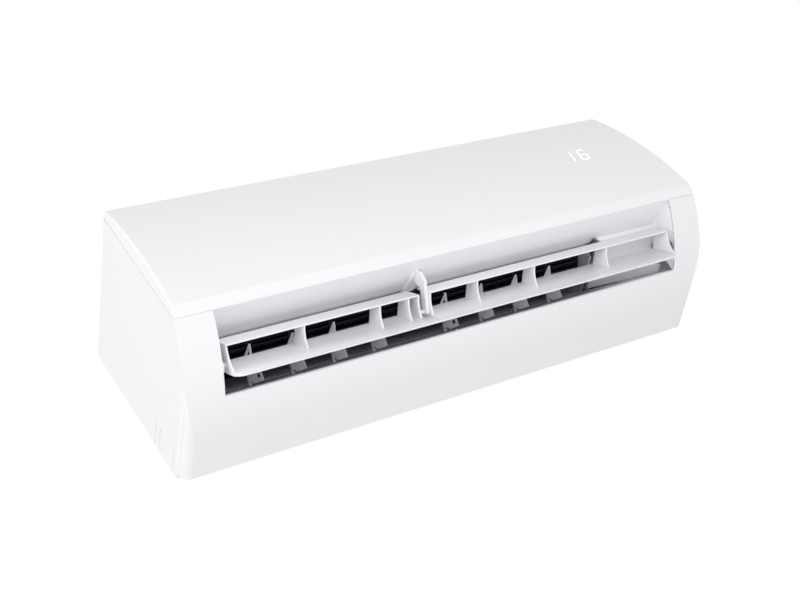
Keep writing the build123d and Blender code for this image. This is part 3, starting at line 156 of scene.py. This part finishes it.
# ---------------------------------------------------------------- casing
# The body shell: one moulding of white ABS with a fine satin texture, open at the back and at the
# outlet, with the inlet grille in its top. It hooks over the chassis and is screwed at the lip.
body_of = {n: b for b, members in frame["record"]["behaviour"]["bodies"].items() for n in members}
slot_of = {row["node"]: row["material_slot"] for row in frame["record"]["subparts"]}
origin_height = 161.0                           # mm, of the frame's origin above the underside
under_flat, under_radius = 50.0, 223.0          # the underside is flat to this depth, then an arc
end_lean, end_draft = 0.047, 0.0195             # how far the ends lean in, for each mm of height and depth
weld = 0.002 * mm                               # vertices this close are merged
flat_turn = math.radians(0.3)                   # triangles this flat to each other are joined


def in_section(depth, height):
    """(y, z) in metres of a depth from the wall and a height above the underside, both in mm."""
    return -np.asarray(depth) * mm, (np.asarray(height) - origin_height) * mm


def finish(name, colour, rough, drift=0.03, patch=0.07, spread=0.06, grain=0.0005, depth=0.000006,
           stretch=(1.0, 1.0, 1.0), **sockets):
    """Material whose colour and roughness drift in soft patches under a fine grain of bumps.

    The colour falls to colour * (1 - drift) and the roughness rises to rough + spread where a noise
    of patches 'patch' metres wide is high; a second noise, 'grain' metres wide, is 'depth' high."""
    made = bpy.data.materials.new(name)
    made.use_nodes = True
    tree = made.node_tree
    shader = tree.nodes["Principled BSDF"]
    spot = node(tree, "TexCoord").outputs["Object"]
    place = node(tree, "Mapping", {"Vector": spot, "Scale": stretch}).outputs[0]
    soft = node(tree, "TexNoise", {"Vector": place, "Scale": 1 / patch, "Detail": 3.0}).outputs["Fac"]
    fine = node(tree, "TexNoise", {"Vector": place, "Scale": 1 / grain, "Detail": 2.0}).outputs["Fac"]
    pale, dull = (*colour, 1.0), (*[c * (1 - drift) for c in colour], 1.0)
    tone = node(tree, "Mix", {0: soft, 6: pale, 7: dull}, data_type="RGBA")
    tone.name = "tone"
    tree.links.new(tone.outputs[2], shader.inputs["Base Color"])
    sheen = node(tree, "MapRange", {"Value": soft, "To Min": rough, "To Max": rough + spread})
    tree.links.new(sheen.outputs[0], shader.inputs["Roughness"])
    bump = node(tree, "Bump", {"Height": fine, "Distance": depth, "Strength": 1.0})
    tree.links.new(bump.outputs[0], shader.inputs["Normal"])
    for key, value in sockets.items():
        shader.inputs[key.replace("_", " ")].default_value = value
    return made


def dress(material, *names):
    """Gives CAD nodes, as they are, a finish."""
    for name in names:
        slots = frame["nodes"][name].data.materials
        slots.clear()
        slots.append(material)


def smoothed(name, title, material, edge=0.0, crisp=30.0, join=True):
    """Copy of a CAD node with its triangles merged and shaded smooth.

    Edges sharper than 'crisp' degrees stay crisp. With 'edge' they are rounded that many metres wide
    instead, after triangles in one plane are joined, unless 'join' is off."""
    mesh = frame["nodes"][name].data.copy()
    made = bmesh.new()
    made.from_mesh(mesh)
    bmesh.ops.remove_doubles(made, verts=made.verts, dist=weld)
    if edge and join:
        bmesh.ops.dissolve_limit(made, angle_limit=flat_turn, verts=made.verts, edges=made.edges)
    made.to_mesh(mesh)
    made.free()
    mesh.polygons.foreach_set("use_smooth", [True] * len(mesh.polygons))
    if not edge:
        mesh.set_sharp_from_angle(angle=math.radians(crisp))
    mesh.materials.clear()
    mesh.materials.append(material)
    piece = in_scene(title, mesh)
    if edge:
        rounding = piece.modifiers.new("edge", "BEVEL")
        rounding.width, rounding.segments = edge, 2
        rounding.limit_method, rounding.angle_limit = "ANGLE", math.radians(crisp)
        rounding.use_clamp_overlap, rounding.harden_normals = False, True
    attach(piece, body_of[name])
    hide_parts(name)
    return piece


def read(items, field, width=1, kind=np.float32):
    """Array of one field of all vertices, corners or faces."""
    values = np.empty(len(items) * width, kind)
    items.foreach_get(field, values)
    return values.reshape(-1, width) if width > 1 else values


arc_error = 0.00004                             # metres: a vertex this close to a cylinder is on it
arc_cos, flat_cos, near_cos = 0.985, 0.99995, 0.9   # least cosine of the angle from a face to its surface


def true_normals(piece, rounds, flats):
    """Shading normals worked out from the real surfaces instead of the triangles.

    A corner on a face that lies on one of the cylinders along X, given as (y, z, radius), gets the
    direction from its axis, and one on a face square to a flat direction gets that direction. Any
    other corner takes the normal that its vertex has on the largest of those faces, if its own face
    is turned little from it. The rest stay zero, and keep the normals they have."""
    mesh = piece.data
    place = read(mesh.vertices, "co", 3).astype(float)
    vertex = read(mesh.loops, "vertex_index", kind=np.int32)
    owner = np.repeat(np.arange(len(mesh.polygons)), read(mesh.polygons, "loop_total", kind=np.int32))
    face = read(mesh.polygons, "normal", 3).astype(float)[owner]
    area = read(mesh.polygons, "area")[owner]
    given = []      # for each surface: its normal at every corner, and which corners lie on it
    for y, z, radius in rounds:
        out = place - (0.0, y, z)
        out[:, 0] = 0.0
        size = np.linalg.norm(out, axis=1)
        out /= size[:, None]
        on = np.abs(size - radius) < arc_error
        given.append((out[vertex], on[vertex] & (np.sum(out[vertex] * face, 1) > arc_cos)))
    for way in flats:
        way = np.array(way, float) / np.linalg.norm(way)
        given.append((np.tile(way, (len(vertex), 1)), face @ way > flat_cos))
    result, done = np.zeros((len(vertex), 3)), np.zeros(len(vertex), bool)
    known, largest = np.zeros((len(place), 3)), np.zeros(len(place))
    for normal, on in given:
        result[on] = normal[on]
        done |= on
        better = on.nonzero()[0][np.argsort(area[on])]
        better = better[area[better] > largest[vertex[better]]]
        known[vertex[better]] = normal[better]
        largest[vertex[better]] = area[better]
    beside = (np.sum(known[vertex] * face, 1) > near_cos) & ~done
    result[beside] = known[vertex[beside]]
    mesh.normals_split_custom_set(result.tolist())


white_abs = finish("white_abs", (0.885, 0.89, 0.90), 0.34, Specular_IOR_Level=0.45)
casing = smoothed("front_casing", "casing_shell", white_abs)
square_ways = [(0, 1, 0), (0, -1, 0), (0, 0, 1), (0, 0, -1)]
end_ways = [(s, -end_draft, end_lean) for s in (1, -1)]
under_arc = (*in_section(under_flat, under_radius), under_radius * mm)
true_normals(casing, [under_arc], square_ways + end_ways)
dress(white_abs, "filter_guides")

# ---------------------------------------------------------------- front panel
# One curved cover of white ABS, a little glossier than the casing, on two pins at its top corners.
# It closes on the casing with a narrow reveal all round.
panel_abs = finish("panel_abs", (0.895, 0.90, 0.905), 0.27, drift=0.02, depth=0.000003,
                   Specular_IOR_Level=0.5)
panel = smoothed("front_panel", "panel_cover", panel_abs)
crease_depth, front_top_depth, unit_height = 198.0, 202.0, 250.0
front_bulge = 9.5                               # rise of the curved front over its chord
crease_height = under_radius - math.sqrt(under_radius ** 2 - (crease_depth - under_flat) ** 2)
crease, front_top = np.array((-crease_depth, crease_height)), np.array((-front_top_depth, unit_height))
rise = front_top - crease
chord = np.linalg.norm(rise)
front_radius = (chord ** 2 / 4 + front_bulge ** 2) / (2 * front_bulge)
inward = np.array((rise[1], -rise[0])) / chord
front_axis = (crease + front_top) / 2 + inward * (front_radius - front_bulge)
front_arc = (*in_section(-front_axis[0], front_axis[1]), front_radius * mm)
true_normals(panel, [under_arc, front_arc], square_ways + end_ways)

# ---------------------------------------------------------------- display figures
# Two lit figures, let into the panel and flush with its face. Their light bars are a clear, whitish
# moulding, lit from the display board behind.
lit_bars = finish("lit_bars", (0.95, 0.96, 0.97), 0.3, drift=0.01, patch=0.01, Emission_Color=(1, 1, 1, 1),
                  Emission_Strength=0.45)
smoothed("display_digits", "display_figures", lit_bars)

# ---------------------------------------------------------------- outlet
# The outlet's upper wall and cheeks are one white moulding, set into the casing's mouth. An arm on that
# wall carries the louver near its middle. The slanted wedge right of the fan is a white moulding too,
# with painted shadow where it meets the fan.
outlet_abs = finish("outlet_abs", (0.90, 0.90, 0.915), 0.42, drift=0.04, Specular_IOR_Level=0.4)
smoothed("outlet_frame", "outlet_surround", outlet_abs, edge=0.0004)
smoothed("louver_centre_bracket", "louver_arm", outlet_abs)

side_abs = finish("side_abs", (0.93, 0.93, 0.945), 0.45, drift=0.03)
shaded_to, lit_from = 0.2335, 0.238            # metres along X: the painted shadow fades out between these
shade_ragged, shade_grain = 0.012, 1 / 700        # metres: how much its edge wanders, and how finely
# painted shadow: the wedge's colour falls to a near black towards the fan, with a ragged edge
shade_colour = (0.10, 0.105, 0.115, 1)
tree = side_abs.node_tree
place = node(tree, "TexCoord").outputs["Object"]
across = node(tree, "SeparateXYZ", {0: place}).outputs["X"]
edge_noise = node(tree, "TexNoise", {"Vector": place, "Scale": 1 / shade_grain}).outputs["Fac"]
wander = calc(tree, "MULTIPLY_ADD", edge_noise, shade_ragged, -shade_ragged / 2)
lit_share = node(tree, "MapRange", {"Value": calc(tree, "ADD", across, wander), "From Min": shaded_to,
                                "From Max": lit_from}).outputs[0]
shaded_tone = node(tree, "Mix", {0: lit_share, 6: shade_colour, 7: tree.nodes["tone"].outputs[2]}, data_type="RGBA")
tree.links.new(shaded_tone.outputs[2], tree.nodes["Principled BSDF"].inputs["Base Color"])
smoothed("duct_side_right", "duct_side", side_abs, edge=0.0004)

# ---------------------------------------------------------------- chassis
# The frame that carries everything, moulded in white ABS. Its curved wall behind the fan and the wall
# of the outlet are lined with grey foam sheet on the air side. Painted shade greys the wall right of the fan.
chassis_abs = finish("chassis_abs", (0.80, 0.805, 0.81), 0.5, drift=0.05)
lining_and_shade_colour = (0.46, 0.455, 0.51, 1)          # and the painted shade's
fan_depth, fan_height = 88.0, 115.0             # mm, of the fan's axis
lining_reach, lining_right = 62 * mm, 229 * mm  # the lining's greatest distance from that axis, and its end
outlet_wall_y, outlet_wall_z = -60 * mm, -113 * mm      # the outlet's wall lies in front of and below these
shade_left, shade_right = 226.5 * mm, 234 * mm    # the wall right of the fan lies between these in X
shade_reach = 85 * mm                            # of the painted shade on it, from the fan's axis
tree = chassis_abs.node_tree
coords = node(tree, "TexCoord")
fan_axis = (0.0, *in_section(fan_depth, fan_height))
to_fan = node(tree, "VectorMath", {0: fan_axis, 1: coords.outputs["Object"]}, operation="SUBTRACT").outputs[0]
inward = node(tree, "VectorMath", {0: to_fan, 1: (0.0, 1.0, 1.0)}, operation="MULTIPLY").outputs[0]
facing = node(tree, "VectorMath", {0: inward, 1: coords.outputs["Normal"]}, operation="DOT_PRODUCT")
away = node(tree, "VectorMath", {0: inward}, operation="LENGTH").outputs["Value"]
spot = node(tree, "SeparateXYZ", {0: coords.outputs["Object"]}).outputs
round_fan = calc(tree, "LESS_THAN", away, lining_reach)
down_outlet = calc(tree, "MULTIPLY", calc(tree, "LESS_THAN", spot["Z"], outlet_wall_z),
                   calc(tree, "LESS_THAN", spot["Y"], outlet_wall_y))
air_side = calc(tree, "MULTIPLY", calc(tree, "GREATER_THAN", facing.outputs["Value"], 0.0),
                calc(tree, "LESS_THAN", spot["X"], lining_right))
lined = calc(tree, "MULTIPLY", calc(tree, "MAXIMUM", round_fan, down_outlet), air_side)
# painted shade: the wall right of the fan takes the lining's grey in its colour near the fan's axis
beside_fan = calc(tree, "MULTIPLY", calc(tree, "GREATER_THAN", spot["X"], shade_left),
                  calc(tree, "LESS_THAN", spot["X"], shade_right))
shaded_side = calc(tree, "MULTIPLY", beside_fan, calc(tree, "LESS_THAN", away, shade_reach))
lined_or_shaded = calc(tree, "MAXIMUM", lined, shaded_side)
coated = node(tree, "Mix", {0: lined_or_shaded, 6: tree.nodes["tone"].outputs[2], 7: lining_and_shade_colour}, data_type="RGBA")
tree.links.new(coated.outputs[2], tree.nodes["Principled BSDF"].inputs["Base Color"])
smoothed("chassis", "chassis_frame", chassis_abs)

# ---------------------------------------------------------------- louver
# Two long blades of white ABS tied by thin ribs, in one moulding. It turns on a pin at the left, in
# the arm near the middle and on the stepper motor's shaft at the right.
louver_abs = finish("louver_abs", (0.91, 0.905, 0.925), 0.33, drift=0.025, Specular_IOR_Level=0.45)
smoothed("louver_blade", "louver_main_blade", louver_abs, edge=0.0005, crisp=35.0)
smoothed("louver_deflector", "louver_top_blade", louver_abs, edge=0.0005)
smoothed("louver_ribs", "louver_rib_set", louver_abs, edge=0.0003)
pin_acetal = finish("pin_acetal", (0.78, 0.78, 0.76), 0.35, drift=0.02)
dress(pin_acetal, "louver_pins", "louver_bush")

# ---------------------------------------------------------------- vanes
# Eight upright vanes of whitish, faintly translucent plastic in two groups of four. Each turns on a
# foot in the dark strip let into the duct's wall, and a flat bar ties the four of a group together.
vane_count = 8
vane_pp = finish("vane_pp", (0.84, 0.845, 0.86), 0.3, drift=0.06, patch=0.02, Transmission_Weight=0.15)
for i in range(1, vane_count + 1):
    smoothed("vane_%d" % i, "vane_leaf_%d" % i, vane_pp, edge=0.00015, join=False)
for side in ("left", "right"):
    smoothed("vane_link_" + side, "vane_bar_" + side, vane_pp, edge=0.0002)
strip_abs = finish("strip_abs", (0.07, 0.072, 0.08), 0.5)
dress(strip_abs, "vane_strips")

# ---------------------------------------------------------------- fan
# A long drum of thin curved blades between discs, moulded in glass-filled black plastic and welded
# together. It runs in a rubber-mounted bearing at the left and on the motor's shaft at the right.
fan_black = finish("fan_black", (0.012, 0.014, 0.026), 0.45, drift=0.3, patch=0.05, Specular_IOR_Level=0.3)
dress(fan_black, "fan_rotor")
shaft_steel = finish("shaft_steel", (0.56, 0.57, 0.58), 0.28, stretch=(0.05, 1, 1), drift=0.1, patch=0.004,
                     Metallic=1.0)
dress(shaft_steel, "fan_stub_shaft", "motor_shaft", "louver_shaft")
black_rubber = finish("black_rubber", (0.03, 0.03, 0.032), 0.7, drift=0.2, patch=0.01, depth=0.00002)
dress(black_rubber, "fan_bearing", "bearing_mount", "motor_rings")

# ---------------------------------------------------------------- motors
# The fan motor is a pressed steel case, painted black, held by a moulded clamp. The louver's stepper
# is a small plated can with two ears, screwed to the outlet's right cheek.
motor_black = finish("motor_black", (0.035, 0.037, 0.04), 0.38, depth=0.00001, Metallic=0.3)
smoothed("fan_motor", "fan_motor_case", motor_black, edge=0.0008)
clamp_abs = finish("clamp_abs", (0.72, 0.72, 0.71), 0.5)
smoothed("motor_clamp", "motor_clamp_band", clamp_abs, edge=0.0005)
stepper_tin = finish("stepper_tin", (0.62, 0.63, 0.64), 0.3, drift=0.08, patch=0.01, Metallic=1.0)
smoothed("louver_motor", "louver_stepper", stepper_tin, edge=0.0003)

# ---------------------------------------------------------------- coil
# Three stacks of thin aluminium fins with a pale blue coat, pressed on to copper tubes, between two
# zinc-plated end plates. Return bends are brazed on beyond the plates.
fin_pitch, fin_sheet, tube_radius, tube_sides = 1.9 * mm, 0.25 * mm, 3.5 * mm, 16
legs = {"coil_front": ((163.0, 80.0), (163.0, 150.0)), "coil_upper": ((158.0, 160.0), (104.0, 220.0)),
        "coil_rear": ((80.0, 218.0), (36.5, 175.3))}    # (depth, height) of the ends of each middle line
fin_half, tube_across = 13.0, 6.5               # mm from that line: the fins' edges, and the tubes' two rows
tube_pitch, tube_margin = 21.0, 8.0             # mm; the margin is kept from both ends together


def new_piece(title, verts, faces, material, body, slot, *nodes):
    """Mesh object from arrays, shaded flat, that rides on a body and stands for CAD nodes."""
    mesh = bpy.data.meshes.new(title)
    mesh.from_pydata(np.asarray(verts).tolist(), [], faces)
    mesh.materials.append(material)
    piece = in_scene(title, mesh)
    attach(piece, body)
    if nodes:
        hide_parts(*nodes)


def prisms(sections, starts, ends):
    """Corners and faces of many prisms along X at once.

    Each closed section, a row of (y, z) points anticlockwise seen from +X, is carried from its start
    to its end in X, with a flat face at both. One section alone serves for all starts and ends."""
    sides = sections.shape[1]
    verts = np.zeros((len(starts), 2, sides, 3))
    verts[..., 0] = np.stack([starts, ends], -1)[..., None]
    verts[..., 1:] = sections[:, None]
    k = np.arange(sides)
    after = np.roll(k, -1)
    first = 2 * sides * np.arange(len(starts))[:, None, None]
    walls = (first + np.stack([k, after, after + sides, k + sides], -1)).reshape(-1, 4)
    caps = (first + np.stack([k[::-1], k + sides])).reshape(-1, sides)
    return verts.reshape(-1, 3), walls.tolist() + caps.tolist()


fin_coat = finish("fin_coat", (0.60, 0.69, 0.76), 0.35, drift=0.08, patch=0.02, Metallic=0.85)
tube_copper = finish("tube_copper", (0.70, 0.30, 0.17), 0.3, drift=0.2, patch=0.01, Metallic=1.0)
turn = np.linspace(0, 2 * math.pi, tube_sides, endpoint=False)
for name, (start, end) in legs.items():
    low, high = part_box(name)
    gaps = int((high.x - low.x - fin_sheet) / fin_pitch)
    x = low.x + (high.x - low.x - fin_sheet) * np.arange(gaps + 1) / gaps
    span = math.hypot(end[0] - start[0], end[1] - start[1])
    along_d, along_h = (end[0] - start[0]) / span, (end[1] - start[1]) / span
    corners = [(d + s * along_h * fin_half, h - s * along_d * fin_half)
               for (d, h), s in ((start, 1), (start, -1), (end, -1), (end, 1))]
    outline = np.array([in_section(d, h) for d, h in corners])
    verts, faces = prisms(outline[None], x, x + fin_sheet)
    leg = name.removeprefix("coil_")
    new_piece("fins_" + leg, verts, faces, fin_coat, body_of[name], slot_of[name], name)
    rows = int((span - tube_margin) // tube_pitch) + 1
    steps = (span - (rows - 1) * tube_pitch) / 2 + tube_pitch * np.arange(rows)
    aside, ahead = [v.reshape(-1, 1) for v in np.meshgrid((-tube_across, tube_across), steps, indexing="ij")]
    y, z = in_section(start[0] + along_d * ahead + along_h * aside,
                      start[1] + along_h * ahead - along_d * aside)
    rings = np.stack([y + tube_radius * np.cos(turn), z + tube_radius * np.sin(turn)], -1)
    starts, ends = np.full(len(rings), low.x + fin_sheet), np.full(len(rings), high.x - fin_sheet)
    verts, faces = prisms(rings, starts, ends)
    new_piece("tubes_" + leg, verts, faces, tube_copper, body_of[name], "copper")
zinc_sheet = finish("zinc_sheet", (0.62, 0.64, 0.66), 0.35, drift=0.12, patch=0.012, Metallic=1.0)
smoothed("coil_end_plates", "coil_plates", zinc_sheet, edge=0.0001)
smoothed("coil_return_bends", "coil_bends", tube_copper)

# ---------------------------------------------------------------- pipes
# Bright drawn copper tubes from the coil down to the channel behind the unit, in sleeves of white
# closed-cell foam, with machined brass flare nuts on their ends. A moulded strap holds them.
sleeve_foam = finish("sleeve_foam", (0.78, 0.78, 0.76), 0.85, drift=0.08, patch=0.008, grain=0.0012,
                     depth=0.00012)
for kind in ("gas", "liquid"):
    smoothed(kind + "_pipe", kind + "_tube", tube_copper)
    smoothed(kind + "_pipe_sleeve", kind + "_sleeve", sleeve_foam)
nut_brass = finish("nut_brass", (0.72, 0.52, 0.22), 0.25, drift=0.1, patch=0.006, Metallic=1.0)
smoothed("flare_nuts", "brass_nuts", nut_brass, edge=0.0004)
smoothed("pipe_clamp", "pipe_strap", clamp_abs, edge=0.0008)

# ---------------------------------------------------------------- drain pan
# A shallow trough of white polystyrene below the coil, with a spigot for draining at the right. It
# stands on small feet on the outlet's wall.
pan_white = finish("pan_white", (0.80, 0.80, 0.79), 0.55, drift=0.06, patch=0.03)
smoothed("drain_pan", "drain_trough", pan_white, edge=0.0004)

# ---------------------------------------------------------------- filters
# Each filter is a flexible grey frame with bars, and a fine woven net held in it. It slides up and
# out of its guides through the slot in the casing's top.
filter_grey = finish("filter_grey", (0.42, 0.46, 0.50), 0.45, drift=0.05)
net_nylon = finish("net_nylon", (0.16, 0.17, 0.19), 0.6, drift=0.1, patch=0.02)
thread, thread_pitch = 0.2 * mm, 1.5 * mm


def rectangles(ys, zs):
    """Sections between two values of y and two of z, each a number or an array."""
    corners = [(ys[0], zs[0]), (ys[1], zs[0]), (ys[1], zs[1]), (ys[0], zs[1])]
    return np.stack([np.stack(np.broadcast_arrays(y, z), -1) for y, z in corners], -2).reshape(-1, 4, 2)


def joined(parts):
    """Corners and faces of several meshes as one, each mesh's faces counted on from the last."""
    firsts = np.cumsum([0] + [len(verts) for verts, _ in parts])
    faces = [[k + first for k in face] for (_, ngons), first in zip(parts, firsts.tolist()) for face in ngons]
    return np.concatenate([verts for verts, _ in parts]), faces


for side in ("left", "right"):
    smoothed("filter_frame_" + side, "filter_%s_frame" % side, filter_grey)
    name = "filter_net_" + side
    low, high = [np.array(c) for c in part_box(name)]
    y = (low[1] + high[1]) / 2
    x = np.arange(low[0] + thread_pitch / 2, high[0] - thread, thread_pitch)
    z = np.arange(low[2] + thread_pitch / 2, high[2] - thread, thread_pitch)
    warp = prisms(rectangles((y - thread, y), (low[2], high[2])), x, x + thread)
    starts, ends = np.full_like(z, low[0]), np.full_like(z, high[0])
    weft = prisms(rectangles((y, y + thread), (z, z + thread)), starts, ends)
    new_piece("net_" + side, *joined([warp, weft]), net_nylon, body_of[name], slot_of[name], name)

# ---------------------------------------------------------------- wall plate
# A pressed sheet of zinc-plated steel with two hooks at the top, screwed to the wall. The unit hangs
# on the hooks and lifts off upwards.
plate = smoothed("mounting_plate", "wall_sheet", zinc_sheet)
true_normals(plate, [], square_ways)

# ---------------------------------------------------------------- electrical parts
# A black moulded box with a steel cover, the control board with its components, the terminal block,
# and the display board behind the panel with its white module and the manual button.
box_black = finish("box_black", (0.03, 0.03, 0.032), 0.5, drift=0.1)
smoothed("electrical_box", "control_box", box_black, edge=0.0004)
smoothed("terminal_block", "terminals", box_black, edge=0.0003, join=False)
smoothed("electrical_box_cover", "control_box_cover", zinc_sheet, edge=0.0002)
board_green = finish("board_green", (0.03, 0.16, 0.07), 0.3, drift=0.35, patch=0.003, Specular_IOR_Level=0.6)
dress(board_green, "control_board", "display_board")
component = finish("component", (0.04, 0.04, 0.045), 0.4, drift=0.5, patch=0.02)
smoothed("control_board_parts", "components", component, edge=0.0006)
module_white = finish("module_white", (0.85, 0.85, 0.85), 0.45)
smoothed("display_board_parts", "display_module", module_white, edge=0.0003)
smoothed("manual_button", "button_cap", white_abs, edge=0.0004)

# ---------------------------------------------------------------- screws
# Pan-head steel screws with a cross recess: two on the motor clamp, two in the ears of the stepper,
# and the one that holds the casing at the outlet's lip.
head_rings = np.array([1.0, 1.0, 0.97, 0.85, 0.7, 0.64, 0.6, 0.5, 0.4, 0.3, 0.22, 0.16, 0.1])
head_points = 48                                # in each of these rings, whose radii are shares of the head's
recess_arm, recess_half = 0.62, 0.17            # of the cross: shares of that radius
recess_deep, head_edge = 0.75, 0.45             # its depth and the upright edge's height: shares of the rise
head_dome = 0.6                                 # how fast the dome falls off from its middle
clamp_head, ear_head, lip_head = (3.5 * mm, 2.5 * mm), (2.8 * mm, 2.0 * mm), (3.6 * mm, 1.6 * mm)
clamp_screw_x, clamp_screw_out, clamp_screw_reach = 248.0, 6.0, 48.0    # mm; the last two from the fan's axis
stepper_face_x, stepper_axis, ear_reach = 341.3, (128.0, 32.5), 17.5    # mm; the axis as (depth, height)
lip_screw_x, lip_screw_in = -20.0, 5.0          # mm; the second from the lip up the outlet's rear wall
lip, wall_way = (98.5, 9.78), (-0.617, 0.787)   # (depth, height) of the lip, and the way up that wall


def screw_head(place, way, radius, rise):
    """Domed head with a cross recess on a polar grid.

    The height is rise * sqrt(1 - head_dome r^2), less recess_deep * rise inside the cross |u| or |v|
    < recess_half for r below recess_arm, with r, u and v in units of the radius. The two outermost
    rings are the head's upright edge. 'way', which it faces, is not along Z."""
    r = head_rings[:, None]
    turn = np.linspace(0, 2 * math.pi, head_points, endpoint=False)
    u, v = r * np.cos(turn), r * np.sin(turn)
    height = rise * np.sqrt(1 - head_dome * r ** 2) * np.ones_like(u)
    cross = ((np.abs(u) < recess_half) | (np.abs(v) < recess_half)) & (r < recess_arm)
    height = np.where(cross, height - recess_deep * rise, height)
    height[0] = 0.0
    height[1] = head_edge * rise
    side = np.cross(way, (0.0, 0.0, 1.0))
    side /= np.linalg.norm(side)
    other = np.cross(way, side)
    verts = (np.array(place) + radius * (u[..., None] * side + v[..., None] * other)
             + height[..., None] * np.array(way)).reshape(-1, 3)
    n, m = u.shape
    grid = np.arange(n * m).reshape(n, m)
    faces = np.stack([grid[:-1], np.roll(grid, -1, 1)[:-1], np.roll(grid, -1, 1)[1:], grid[1:]], -1)
    return verts, faces.reshape(-1, 4).tolist() + [grid[0][::-1].tolist(), grid[-1].tolist()]


heads = []
for s in (1, -1):
    clamp_place = in_section(fan_depth + clamp_screw_out, fan_height + s * clamp_screw_reach)
    heads.append(screw_head((clamp_screw_x * mm, *clamp_place), (0.0, -1.0, 0.0), *clamp_head))
    ear_place = in_section(stepper_axis[0] + s * ear_reach, stepper_axis[1])
    heads.append(screw_head((stepper_face_x * mm, *ear_place), (1.0, 0.0, 0.0), *ear_head))
lip_place = in_section(lip[0] + lip_screw_in * wall_way[0], lip[1] + lip_screw_in * wall_way[1])
lip_way = (0.0, -wall_way[1], -wall_way[0])
heads.append(screw_head((lip_screw_x * mm, *lip_place), lip_way, *lip_head))
new_piece("screw_heads", *joined(heads), shaft_steel, "unit", "steel", "screws")
